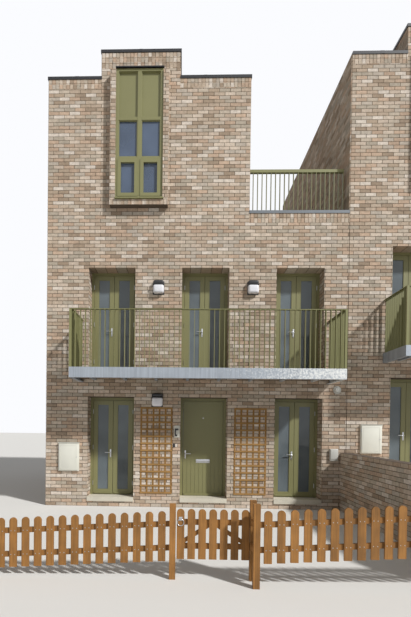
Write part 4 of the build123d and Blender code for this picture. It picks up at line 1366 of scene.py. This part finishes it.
@dataclass
class Hinges:
    """Hinge barrels with three knuckles, on the axes of the doors and the gate."""

    dresser: Dresser
    radius: float = 0.0076
    height: float = 0.09
    slit: float = 0.0006
    pin_radius: float = 0.0045
    pin_out: float = 0.004
    from_opening: float = 0.058
    from_leaf: float = 0.003
    proud: float = 0.0083
    levels: Point = (0.12, 0.5, 0.88)

    def barrel(self) -> Piece:
        """Models one barrel around the origin."""
        foot, third = -self.height / 2, self.height / 3
        parts = [Bench.rod((0, 0, foot + i * third + self.slit),
                           (0, 0, foot + (i + 1) * third - self.slit), self.radius, 12, 0.0012)
                 for i in range(3)]
        parts.append(Bench.rod((0, 0, foot - self.pin_out), (0, 0, self.pin_out - foot),
                               self.pin_radius, 8, 0.001))
        return Bench.join(parts)

    def build(self) -> None:
        """Sets a barrel at every hinge."""
        places = []
        for pair in door_pairs():
            for x in (pair.start + self.from_opening,
                      pair.start + OPENING_WIDTH - self.from_opening):
                places += [(x, FRAME_FRONT - self.proud, pair.foot + level * pair.height)
                           for level in self.levels]
        for house in HOUSES:
            x = house.left + OPENINGS[1] + JAMB + BOARDED_GAP + BOARDED_LEAF + self.from_leaf
            places += [(x, FRAME_FRONT + FRAME_DEPTH + self.proud,
                        house.floor + LEAF_FOOT + level * GROUND_LEAF_HEIGHT)
                       for level in self.levels]
        low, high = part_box("gate")
        places += [(high.x + self.from_leaf, high.y + self.proud, low.z + level * PALE_HEIGHT)
                   for level in GATE_RAILS]
        self.dresser.finish(Bench.copies(self.barrel(), places), "hinge_barrels", "satin_steel",
                            Slot.SATIN_STEEL, stands_for=("hinges",), smooth=40)


@dataclass
class Windows:
    """Frames, sashes, panels and sills of the tall bay windows and the back windows."""

    dresser: Dresser
    sash: float = 0.05
    side_bar: float = 0.062
    mullion: float = 0.084
    column: float = 0.391
    frame_edge: float = 0.003
    rows: tuple[Span, ...] = ((6.305, 7.042), (7.111, 7.862), (7.93, 8.868))
    # Ring in each row: overlap on the frame, bar, front and back from the frame's front
    rings: tuple[Patch, ...] = ((0.016, 0.07, -0.014, 0.034), (0.0, 0.014, 0.012, 0.041),
                                (0.0, 0.012, 0.026, 0.046))
    panel_back: float = 0.045
    sill_out: float = 0.045
    sill_rise: float = 0.012
    sill_fall: float = 0.01
    flashing_ends: Span = (-0.006, 0.014)
    flashing_out: float = 0.004
    flashing_fall: float = 0.024
    back_bead: float = 0.018
    back_sill: float = 0.035

    def bay_columns(self, house: House) -> list[Span]:
        """Left and right edge of the two columns of lights."""
        first = house.left + BAY_WINDOW[0] + self.side_bar
        return [(x, x + self.column) for x in (first, first + self.column + self.mullion)]

    def bay_frame(self, house: House) -> list[Piece]:
        """Models the bars of one tall window and the two panels at its top."""
        columns = self.bay_columns(house)
        (left, inner_left), (inner_right, right) = columns
        outer_left, outer_right = house.across(*BAY_WINDOW)
        bottom, middle, top = self.rows
        bars = [(outer_left, left, BAY_HOLE[0], BAY_HEAD),
                (right, outer_right, BAY_HOLE[0], BAY_HEAD),
                (left, right, BAY_HOLE[0], bottom[0]), (left, right, top[1], BAY_HEAD),
                (inner_left, inner_right, bottom[0], top[1])]
        bars += [(*column, low, high) for low, high in ((bottom[1], middle[0]),
                                                        (middle[1], top[0]))
                 for column in columns]
        panels = [(*column, *top) for column in columns]
        parts = []
        for shapes, front, edge in ((bars, 0.0, self.frame_edge),
                                    (panels, self.panel_back, 0.002)):
            parts += [Bench.block((a, BAY_FRONT + front, house.floor + low),
                                  (b, BAY_FRONT + BAY_FRAME, house.floor + high), edge, 1)
                      for a, b, low, high in shapes]
        return parts

    def back_frame(self, hole: Patch) -> list[Piece]:
        """Models the frame of one back window with its middle bar."""
        left, right, low, high = hole
        depth = (BACK - REVEAL, BACK - REVEAL - FRAME_DEPTH)
        middle = (left + right) / 2
        return [Bench.ring((left, right), (low, high), self.sash, depth, self.frame_edge),
                Bench.block((middle - self.sash / 2, depth[1], low + self.sash),
                            (middle + self.sash / 2, depth[0], high - self.sash),
                            self.frame_edge, 1)]

    def back_lights(self, hole: Patch) -> list[tuple[Span, Span]]:
        """Edges of the two lights of one back window, across and up."""
        left, right, low, high = hole
        width = (right - left - 3 * self.sash) / 2
        return [((edge, edge + width), (low + self.sash, high - self.sash))
                for edge in (left + self.sash, left + width + 2 * self.sash)]

    def build_frames(self) -> None:
        """Makes the frames of all these windows."""
        frames = []
        for house in HOUSES:
            frames += self.bay_frame(house)
            for hole in house.back_holes():
                frames += self.back_frame(hole)
        self.dresser.finish(frames, "window_bars", "olive_joinery", Slot.PAINTED_WOOD,
                            stands_for=("window_frames",))

    def build_sashes(self) -> None:
        """Makes the casement rings and beads of the tall windows."""
        sashes = []
        for house in HOUSES:
            for left, right in self.bay_columns(house):
                for (low, high), (lap, bar, front, back) in zip(self.rows, self.rings):
                    sashes.append(Bench.ring(
                        (left - lap, right + lap), house.up(low - lap, high + lap), bar,
                        (BAY_FRONT + front, BAY_FRONT + back), 0.006))
        self.dresser.finish(sashes, "bay_sashes", "olive_joinery", Slot.PAINTED_WOOD)

    def build_sills(self) -> None:
        """Makes the sill and head flashing of each tall window."""
        sills, flashings = [], []
        for house in HOUSES:
            left, right = house.across(*BAY_WINDOW)
            foot, hole, head = house.up(SURROUND[1], BAY_HOLE[0], BAY_HEAD)
            sill = Bench.block((left + 0.002, SURROUND_FRONT - self.sill_out, foot),
                               (right + 0.022, BAY_FRONT + 0.002, hole + self.sill_rise), 0.005)
            self.slope_front(sill, self.sill_fall)
            sills.append(sill)
            left, right = left + self.flashing_ends[0], right + self.flashing_ends[1]
            front = SURROUND_FRONT - self.flashing_out
            cover = Bench.block((left, front, head + 0.012),
                                (right, FACADE + 0.002, head + 0.05), 0.002, 1)
            self.slope_front(cover, self.flashing_fall)
            drip = Bench.block((left, front, head + 0.002),
                               (right, SURROUND_FRONT + self.flashing_out, head + 0.026),
                               0.002, 1)
            flashings += [cover, drip]
        self.dresser.finish(sills, "bay_sills", "olive_joinery", Slot.PAINTED_WOOD)
        self.dresser.finish(flashings, "bay_flashings", "black_coping",
                            Slot.DARK_METAL)

    def slope_front(self, piece: Piece, drop: float) -> None:
        """Lowers the top front edge of a sill so that water runs off.

        Args:
            piece: The sill.
            drop: How far the edge goes down.
        """
        Bench.choose(piece)
        bpy.ops.object.mode_set(mode="EDIT")
        bpy.ops.mesh.select_all(action="DESELECT")
        mesh = bmesh.from_edit_mesh(piece.data)
        front = min(v.co.y for v in mesh.verts)
        middle = sum(v.co.z for v in mesh.verts) / len(mesh.verts)
        for vert in mesh.verts:
            vert.select = vert.co.y < front + 0.02 and vert.co.z > middle
        mesh.select_flush(True)
        bmesh.update_edit_mesh(piece.data)
        bpy.ops.transform.translate(value=(0, 0, -drop))
        bpy.ops.object.mode_set(mode="OBJECT")

    def build_back(self) -> None:
        """Makes the beads and stone sills of the back windows."""
        beads, sills = [], []
        face = BACK - REVEAL
        for house in HOUSES:
            for hole in house.back_holes():
                beads += [Bench.ring(across, up, self.back_bead, (face - 0.002, face - 0.02),
                                     0.004) for across, up in self.back_lights(hole)]
                left, right, low, _ = hole
                if low > house.floor:
                    sills.append(Bench.block((left, face, low),
                                             (right, BACK + 0.006, low + self.back_sill), 0.005))
        self.dresser.finish(beads, "back_window_beads", "olive_joinery",
                            Slot.PAINTED_WOOD)
        self.dresser.finish(sills, "back_window_sills", "threshold_stone",
                            Slot.SILL_STONE)

    def build(self) -> None:
        """Makes the parts of every window."""
        self.build_frames()
        self.build_sashes()
        self.build_sills()
        self.build_back()


@dataclass
class Panes:
    """Double-glazed panes of the leaves and windows that stay shut."""

    dresser: Dresser
    windows: Windows
    edge: float = 0.001
    behind_bay_frame: float = 0.04

    def pane(self, across: Span, up: Span, front: float) -> Piece:
        """Models one pane that faces the street."""
        return Bench.block((across[0], front, up[0]), (across[1], front + GLASS, up[1]),
                           self.edge, 1)

    def build(self) -> None:
        """Makes every fixed pane."""
        doors, bays, terraces, backs = [], [], [], []
        for pair in door_pairs():
            if not pair.moving:
                doors += [self.pane((edge + STILE, edge + FRENCH_LEAF - STILE),
                                    pair.pane_height(), FRAME_FRONT + (LEAF - GLASS) / 2)
                          for edge in pair.leaf_starts()]
        for house in HOUSES:
            for column in self.windows.bay_columns(house):
                bays += [self.pane(column, house.up(*row), BAY_FRONT + self.behind_bay_frame)
                         for row in self.windows.rows[:2]]
            middle = house.left + BLOCK_WIDTH - REVEAL + FRAME_DEPTH / 2
            low, high = house.up(SECOND_FLOOR + BOTTOM_RAIL, SECOND_HEAD - STILE)
            terraces.append(Bench.block((middle - GLASS / 2, TERRACE_DOOR[0] + STILE, low),
                                        (middle + GLASS / 2, TERRACE_DOOR[1] - STILE, high),
                                        self.edge, 1))
            for hole in house.back_holes():
                backs += [self.pane(across, up, BACK - REVEAL - (FRAME_DEPTH + GLASS) / 2)
                          for across, up in self.windows.back_lights(hole)]
        for name, finish, parts in (("fixed_door_panes", "glazing", doors),
                                    ("bay_panes", "bay_glazing", bays),
                                    ("terrace_door_panes", "glazing", terraces),
                                    ("back_panes", "glazing", backs)):
            self.dresser.finish(parts, name, finish, Slot.WINDOW_GLASS,
                                stands_for=("fixed_glass",))


def spread(start: float, end: float, pitch: float) -> list[float]:
    """Evenly spaced places from start to end, no further apart than the pitch."""
    count = math.ceil((end - start) / pitch - 1e-9)
    return [start + (end - start) * i / count for i in range(count + 1)]


@dataclass
class Balconies:
    """Deck boards, joists, bar feet and bolts of the two balconies."""

    dresser: Dresser
    start: float = 0.72
    length: float = 5.25
    front: float = -1.12
    top: float = 2.63
    channel: float = 0.2
    board: float = 0.146
    board_thick: float = 0.028
    gap: float = 0.006
    rim: float = 0.012
    deck_drop: float = 0.01
    first_joist: float = 0.3
    joist: float = 0.05
    joist_foot: float = 0.15
    joist_pitch: float = 0.65
    post: float = 0.045
    bar_pitch: float = 0.095
    bar_line: float = 0.03
    bolt_columns: Span = (-0.26, -0.34)
    bolt_levels: Span = (0.05, 0.15)

    def build(self) -> None:
        """Makes the parts of both balconies."""
        boards, joists, bolts, feet = [], [], [], []
        for house in HOUSES:
            left, right = house.across(self.start, self.start + self.length)
            top, level = house.up(self.top, self.top - self.deck_drop)
            back = self.front + self.rim
            first = Bench.block((left + self.rim, back, level - self.board_thick),
                                (right - self.rim, back + self.board, level), 0.003, 1)
            boards.append(Bench.repeat(first, (0, self.board + self.gap, 0), 6))
            x = left + self.first_joist
            joist = Bench.block((x, self.front + 0.01, level - self.joist_foot),
                                (x + self.joist, FACADE, level - self.board_thick - 0.001),
                                0.004, 1)
            joists.append(Bench.repeat(joist, (self.joist_pitch, 0, 0), 8))
            feet += [(x, self.front + self.bar_line, top)
                     for x in spread(left + self.post / 2, right - self.post / 2,
                                     self.bar_pitch)[1:-1]]
            bolts += [(x, y, top - self.channel + z) for x in (left - 0.001, right + 0.001)
                      for y in self.bolt_columns for z in self.bolt_levels]
        foot = Bench.block((-0.016, -0.024, 0.0), (0.016, 0.024, 0.008), 0.002, 1)
        nut = Bench.rod((-0.008, 0, 0), (0.008, 0, 0), 0.014, 6, 0.002)
        self.dresser.finish(boards, "balcony_boards", "deck_board", Slot.DECKING,
                            stands_for=("balcony_decks",))
        self.dresser.finish(joists, "balcony_joists", "galvanised",
                            Slot.GALVANISED_STEEL)
        self.dresser.finish(Bench.copies(foot, feet), "guard_bar_feet", "olive_steel",
                            Slot.GREEN_STEEL)
        self.dresser.finish(Bench.copies(nut, bolts), "channel_bolts", "galvanised",
                            Slot.GALVANISED_STEEL)


@dataclass
class Roofs:
    """Coping joints, terrace paving and roof seams."""

    dresser: Dresser
    strap: float = 0.08
    strap_places: Span = (0.6, 3.3)
    strap_out: float = 0.022
    strap_in: float = 0.018
    strap_proud: float = 0.003
    tile: float = 0.59
    tile_joint: float = 0.01
    tile_thick: float = 0.035
    seam: float = 0.06
    seam_thick: float = 0.004
    seam_places: tuple[float, ...] = (0.7, 1.7, 2.7, 3.5)

    def strap_over(self, x: float, depth: Span, foot: float) -> Piece:
        """Models the strap over one coping joint, from the foot of the coping."""
        half = self.strap / 2
        return Bench.block((x - half, depth[0], foot + 0.002),
                           (x + half, depth[1], foot + COPING + self.strap_proud), 0.002, 1)

    def paving(self, house: House) -> Piece:
        """Models the tiles of one roof terrace."""
        x, z = house.left + BLOCK_WIDTH + self.tile_joint, house.floor + SECOND_FLOOR
        y, pitch = INNER + self.tile_joint, self.tile + self.tile_joint
        tile = Bench.block((x, y, z), (x + self.tile, y + self.tile, z + self.tile_thick),
                           0.004, 1)
        Bench.repeat(tile, (pitch, 0, 0), 4)
        Bench.repeat(tile, (0, pitch, 0), 9)
        Bench.trim(tile, (house.inner_right - self.tile_joint / 2, 0, 0), (1, 0, 0))
        return Bench.trim(tile, (0, BACK_INNER - self.tile_joint / 2, 0), (0, 1, 0))

    def build(self) -> None:
        """Makes the parts of both roofs."""
        straps, tiles, seams = [], [], []
        for house in HOUSES:
            parapet, bay_top, roof = house.up(PARAPET, BAY_TOP, ROOF_TOP)
            straps += [self.strap_over(x, depth, parapet)
                       for x in house.across(*self.strap_places)
                       for depth in ((FACADE - self.strap_out, INNER - self.strap_in),
                                     (BACK_INNER + self.strap_in, BACK + self.strap_out))]
            straps.append(self.strap_over(
                house.left + sum(BAY) / 2, (FACADE - self.strap_out, INNER + self.strap_in),
                bay_top))
            tiles.append(self.paving(house))
            for place in self.seam_places:
                start = BAY_BACK if BAY[0] - 0.05 < place < BAY[1] + 0.05 else INNER
                x, half = house.left + place, self.seam / 2
                seams.append(Bench.block((x - half, start, roof),
                                         (x + half, BACK_INNER, roof + self.seam_thick),
                                         0.001, 1))
        self.dresser.finish(straps, "coping_joints", "black_coping", Slot.DARK_METAL)
        self.dresser.finish(tiles, "terrace_tiles", "terrace_paving", Slot.CONCRETE)
        self.dresser.finish(seams, "roof_seams", "floor_concrete", Slot.CONCRETE)


@dataclass
class WallFittings:
    """Wall lights, meter cabinets and the small boxes on the front."""

    dresser: Dresser
    # Levels of the lights, then the left and lower edge or the middle of each fitting, all from
    # the left edge and the floor line of the house
    upper_lights: float = 4.29
    lower_light: float = 1.93
    cabinet: Span = (0.276, 0.54)
    service_box: Span = (5.98, 0.83)
    sensor: Span = (6.115, 2.31)
    phone: Span = (2.73, 1.277)
    bell: Span = (2.706, 1.07)

    def raised(self, corner: Span, size: Span, out: float, soften: float, segments: int = 2,
               back: float = 0.0) -> Piece:
        """Models a block on the face of the wall.

        Args:
            corner: Its left and lower edge.
            size: Its width and height.
            out: How far it stands out.
            soften: Width of the rounding along its edges.
            segments: Steps across the rounding.
            back: How far its back is off the wall.

        Returns:
            The new piece.
        """
        (x, z), (width, height) = corner, size
        return Bench.block((x, FACADE - out, z), (x + width, FACADE - back, z + height), soften,
                           segments)

    def lights(self) -> None:
        """Makes the wall lights: an opal bowl under a dark housing."""
        places = [(house.left + x, FACADE, house.floor + z) for house in HOUSES
                  for x, z in ((PIERS[0], self.upper_lights), (PIERS[1], self.upper_lights),
                               (PIERS[0], self.lower_light))]
        bowl = Bench.block((-0.115, -0.12, 0.0), (0.115, -0.005, 0.195), 0.05, 5)
        self.dresser.finish(Bench.copies(bowl, places), "light_bowls", "opal", Slot.OPAL_PLASTIC,
                            stands_for=("wall_light_shades",), smooth=60)
        # The black back plate is a plate of the fitting, and it also stands in for the shade along
        # the bowl's edges
        back = Bench.block((-0.12, -0.01, -0.012), (0.12, 0.0, 0.272), 0.004)
        hood = Bench.block((-0.1075, -0.11, 0.188), (0.1075, 0.0, 0.275), 0.03, 4)
        lip = Bench.block((-0.118, -0.122, 0.178), (0.118, 0.0, 0.196), 0.007)
        housing = Bench.join([back, hood, lip])
        self.dresser.finish(Bench.copies(housing, places), "light_housings", "black_plastic",
                            Slot.DARK_METAL, stands_for=("wall_light_housings",), smooth=50)

    def cabinets(self) -> None:
        """Makes the meter cabinets with their doors, hinges and locks."""
        parts, metal = [], []
        for house in HOUSES:
            x, z = house.left + self.cabinet[0], house.floor + self.cabinet[1]
            box = self.raised((x, z), (0.44, 0.6), 0.046, 0.008)
            door = self.raised((x + 0.018, z + 0.018), (0.404, 0.564), 0.06, 0.006, back=0.04)
            panel = Bench.ring((x + 0.05, x + 0.39), (z + 0.05, z + 0.55), 0.008,
                               (FACADE - 0.0625, FACADE - 0.055), 0.002)
            hood = self.raised((x - 0.006, z + 0.592), (0.452, 0.014), 0.064, 0.004)
            parts += [box, door, panel, hood]
            metal.append(Bench.stud((x + 0.39, FACADE - 0.058, z + 0.3), 0.008, 0.011))
            metal += [Bench.rod((x + 0.012, FACADE - 0.052, z + middle - 0.03),
                                (x + 0.012, FACADE - 0.052, z + middle + 0.03), 0.006, 10, 0.001)
                      for middle in (0.12, 0.48)]
        self.dresser.finish(parts, "meter_boxes", "cream_plastic", Slot.CREAM_PLASTIC,
                            stands_for=("meter_cabinets",), smooth=40)
        self.dresser.finish(metal, "meter_box_metal", "satin_steel", Slot.SATIN_STEEL,
                            smooth=40)

    def door_phone(self) -> None:
        """Makes the entry phone with its handset, and the bell under it."""
        (x, bell_x), (z, bell_z) = (LEFT_HOUSE.across(self.phone[0], self.bell[0]),
                                    LEFT_HOUSE.up(self.phone[1], self.bell[1]))
        phone = self.raised((x, z), (0.118, 0.257), 0.03, 0.012, 3)
        dark = [self.raised((x + 0.012, z + 0.045), (0.024, 0.135), 0.052, 0.008, 3, 0.034)]
        dark += [self.raised((x + 0.014, z + low), (width, 0.036), 0.056, 0.01, 3, 0.026)
                 for low, width in ((0.03, 0.05), (0.155, 0.078))]
        dark.append(self.raised((bell_x, bell_z), (0.046, 0.075), 0.022, 0.006, 3))
        dark.append(Bench.stud((bell_x + 0.023, FACADE - 0.02, bell_z + 0.045), 0.006, 0.011))
        self.dresser.finish(phone, "entry_phone", "cream_plastic", Slot.CREAM_PLASTIC, smooth=40)
        self.dresser.finish(dark, "handset_and_bell", "black_plastic",
                            Slot.GREY_PLASTIC, smooth=40)

    def small_boxes(self) -> None:
        """Makes the service box and the round sensor of the left house."""
        (x, sensor_x), (z, sensor_z) = (LEFT_HOUSE.across(self.service_box[0], self.sensor[0]),
                                        LEFT_HOUSE.up(self.service_box[1], self.sensor[1]))
        box = self.raised((x, z), (0.17, 0.25), 0.06, 0.01, 3)
        lid = self.raised((x + 0.008, z + 0.03), (0.154, 0.212), 0.07, 0.006, 3, 0.055)
        base = Bench.stud((sensor_x, FACADE, sensor_z), 0.045, 0.08, 28, 0.008)
        dome = Bench.stud((sensor_x, FACADE - 0.04, sensor_z), 0.05, 0.062, 28, 0.03)
        self.dresser.finish([box, lid, base, dome], "small_wall_boxes",
                            "grey_plastic", Slot.GREY_PLASTIC, stands_for=("wall_fittings",),
                            smooth=40)

    def build(self) -> None:
        """Makes every fitting."""
        self.lights()
        self.cabinets()
        self.small_boxes()
        self.door_phone()


@dataclass
class GardenTimber:
    """Trellises in two layers, fence screws and the ironwork of the gate."""

    dresser: Dresser
    slat: float = 0.038
    layer: float = 0.012
    trellis: Span = (0.68, 1.83)
    trellis_foot: float = 0.085
    trellis_shift: float = 0.015
    strap_reach: float = 0.28
    # Each run of the fence: its first and last pale from the row's left edge, and its front
    fence_runs: tuple[Point, ...] = ((0.155, 2.683, -4.42), (3.821, 6.0615, -4.65))
    fence_pitch: float = 0.143
    fence_foot: float = 0.04
    fence_climb: float = 0.059

    def trellises(self) -> None:
        """Makes the uprights against the wall and the crosspieces in front of them."""
        uprights, crosspieces = [], []
        (width, height), base = self.trellis, LEFT_HOUSE.floor + self.trellis_foot
        front = FACADE - self.layer
        for pier in LEFT_HOUSE.across(*PIERS):
            left = pier - self.trellis_shift - width / 2
            stick = Bench.block((left, front, base), (left + self.slat, FACADE, base + height),
                                0.002, 1)
            uprights.append(Bench.repeat(stick, ((width - self.slat) / 5, 0, 0), 6))
            stick = Bench.block((left, front - self.layer, base),
                                (left + width, front, base + self.slat), 0.002, 1)
            crosspieces.append(Bench.repeat(stick, (0, 0, (height - self.slat) / 12), 13))
        # The uprights, behind the crosspieces, take the darker stain that holds painted shade
        self.dresser.finish(uprights, "trellis_uprights", "stained_upright_shaded",
                            Slot.TIMBER, stands_for=("trellises",))
        self.dresser.finish(crosspieces, "trellis_crosspieces", "stained_crosspiece",
                            Slot.TIMBER, stands_for=("trellises",))

    def latch(self) -> None:
        """Makes the latch ring on the front of the gate, with its plate."""
        low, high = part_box("gate_latch")
        middle = (low + high) / 2
        bpy.ops.object.select_all(action="DESELECT")
        bpy.ops.mesh.primitive_torus_add(
            location=middle, rotation=(math.pi / 2, 0, 0), major_radius=0.037,
            minor_radius=0.0048, major_segments=32, minor_segments=8)
        ring = Bench.settle(bpy.context.object)
        plate = Bench.block((middle.x - 0.02, high.y - 0.003, middle.z + 0.02),
                            (middle.x + 0.02, high.y + 0.001, middle.z + 0.062), 0.0015)
        self.dresser.finish([ring, plate], "latch_ring", "satin_steel",
                            Slot.SATIN_STEEL, Body.GATE.value, ("gate_latch",), 50)

    def gate_straps(self) -> None:
        """Makes the straps on the back of the gate, with their bolts."""
        low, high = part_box("gate")
        parts = []
        for level in GATE_RAILS:
            z = low.z + level * PALE_HEIGHT
            parts.append(Bench.block((high.x - self.strap_reach, high.y, z - 0.016),
                                     (high.x - 0.002, high.y + 0.004, z + 0.016), 0.0015))
            parts += [Bench.rod((high.x - along, high.y, z), (high.x - along, high.y + 0.01, z),
                                0.008, 12, 0.002) for along in (0.05, 0.15, 0.25)]
        self.dresser.finish(parts, "gate_straps", "satin_steel", Slot.SATIN_STEEL,
                            Body.GATE.value, smooth=40)

    def fence_screws(self) -> None:
        """Makes the screw heads that hold the pales of both runs to their rails."""
        places = []
        for start, end, front in self.fence_runs:
            for along in spread(start, end, self.fence_pitch):
                foot = self.fence_foot + self.fence_climb * along
                places += [(along - HOUSE_WIDTH + side, front, foot + level * PALE_HEIGHT + 0.03)
                           for level in FENCE_RAILS for side in (-0.022, 0.022)]
        screw = Bench.rod((0, 0.001, 0), (0, -0.002, 0), 0.0055, 8)
        self.dresser.finish(Bench.copies(screw, places), "fence_screws", "satin_steel",
                            Slot.SATIN_STEEL)

    def build(self) -> None:
        """Makes every garden piece."""
        self.trellises()
        self.latch()
        self.gate_straps()
        self.fence_screws()


@dataclass
class Studio:
    """Floor, soft lights and the camera at the photograph's place."""

    eye: Point = (-3.43357, -9.12941, 1.70852)
    turn_left: float = 1.64459
    tilt_up: float = -0.71696
    roll: float = 0.66777
    focal_pixels: float = 422.311
    frame_width: float = 411.0
    shift_pixels: Span = (35.55, 123.341)
    sensor: float = 36.0
    key_energy: float = 3.65
    key_width: float = 4.0
    key_way: Point = (-1.2, 1.0, -1.29)
    sky: str = "#fbfcff"
    sky_light: float = 0.3
    floor_size: float = 160.0

    def camera(self) -> None:
        """Sets the camera where the photograph was taken."""
        lens = bpy.data.cameras.new("street_camera")
        lens.sensor_fit = "HORIZONTAL"
        lens.sensor_width = self.sensor
        lens.lens = self.sensor * self.focal_pixels / self.frame_width
        lens.shift_x = self.shift_pixels[0] / self.frame_width
        lens.shift_y = self.shift_pixels[1] / self.frame_width
        lens.clip_end = 300
        camera = bpy.data.objects.new("street_camera", lens)
        turn = (Matrix.Rotation(math.radians(self.turn_left), 4, "Z")
                @ Matrix.Rotation(math.radians(90 + self.tilt_up), 4, "X")
                @ Matrix.Rotation(math.radians(self.roll), 4, "Z"))
        camera.matrix_world = Matrix.Translation(self.eye) @ turn
        bpy.context.scene.collection.objects.link(camera)
        bpy.context.scene.camera = camera

    def lights(self) -> None:
        """Sets a broad soft key light and an even pale surround."""
        lamp = bpy.data.lights.new("key", "SUN")
        lamp.energy = self.key_energy
        lamp.angle = math.radians(self.key_width)
        key = bpy.data.objects.new("key", lamp)
        key.rotation_euler = Vector(self.key_way).to_track_quat("-Z", "Y").to_euler()
        bpy.context.scene.collection.objects.link(key)
        world = bpy.data.worlds.new("studio")
        world.use_nodes = True
        tree = world.node_tree
        tree.nodes.clear()
        path = add_node(tree, "ShaderNodeLightPath")
        seen = add_node(tree, "ShaderNodeMath", {"operation": "MAXIMUM"},
                        {0: path.outputs["Is Camera Ray"], 1: path.outputs["Is Glossy Ray"]})
        also = add_node(tree, "ShaderNodeMath", {"operation": "MAXIMUM"},
                        {0: seen, 1: path.outputs["Is Transmission Ray"]})
        strength = add_node(tree, "ShaderNodeMapRange", inputs={
            "Value": also, "To Min": self.sky_light, "To Max": 1.0})
        glow = add_node(tree, "ShaderNodeBackground", inputs={
            "Color": linear(self.sky), "Strength": strength})
        add_node(tree, "ShaderNodeOutputWorld", inputs={"Surface": glow})
        bpy.context.scene.world = world

    def floor(self) -> None:
        """Lays the pale floor."""
        bpy.ops.object.select_all(action="DESELECT")
        bpy.ops.mesh.primitive_plane_add(size=self.floor_size, location=(0, 0, 0))
        ground = Bench.settle(bpy.context.object)
        ground.name = "studio_floor"
        finish = Finish("studio_floor", "#d9d7d2", 0.95)
        material, _, shader, _ = finish.start()
        shader.inputs["Base Color"].default_value = linear(finish.colour)
        ground.data.materials.append(material)

    def build(self) -> None:
        """Sets up the studio."""
        self.camera()
        self.lights()
        self.floor()


def dress_solids(palette: Palette) -> None:
    """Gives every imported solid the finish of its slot."""
    slots = {part["node"]: part["material_slot"] for part in frame["record"]["subparts"]}
    for name, node in frame["nodes"].items():
        material = palette.get(NODE_FINISH[Slot(slots[name])])
        if not node.material_slots:
            node.data.materials.append(material)
        for place in node.material_slots:
            place.material = material


def main() -> None:
    """Builds the whole scene."""
    palette = Palette()
    dresser = Dresser(palette)
    scene = bpy.context.scene
    scene.view_settings.view_transform = "Standard"
    Studio().build()
    dress_solids(palette)
    windows = Windows(dresser)
    for group in (GlazedDoors(dresser), Hinges(dresser), windows, Panes(dresser, windows),
                  Balconies(dresser), Roofs(dresser), WallFittings(dresser),
                  GardenTimber(dresser), Brickwork(dresser)):
        log.info("building %s", type(group).__name__)
        group.build()


if __name__ == "__main__":
    main()
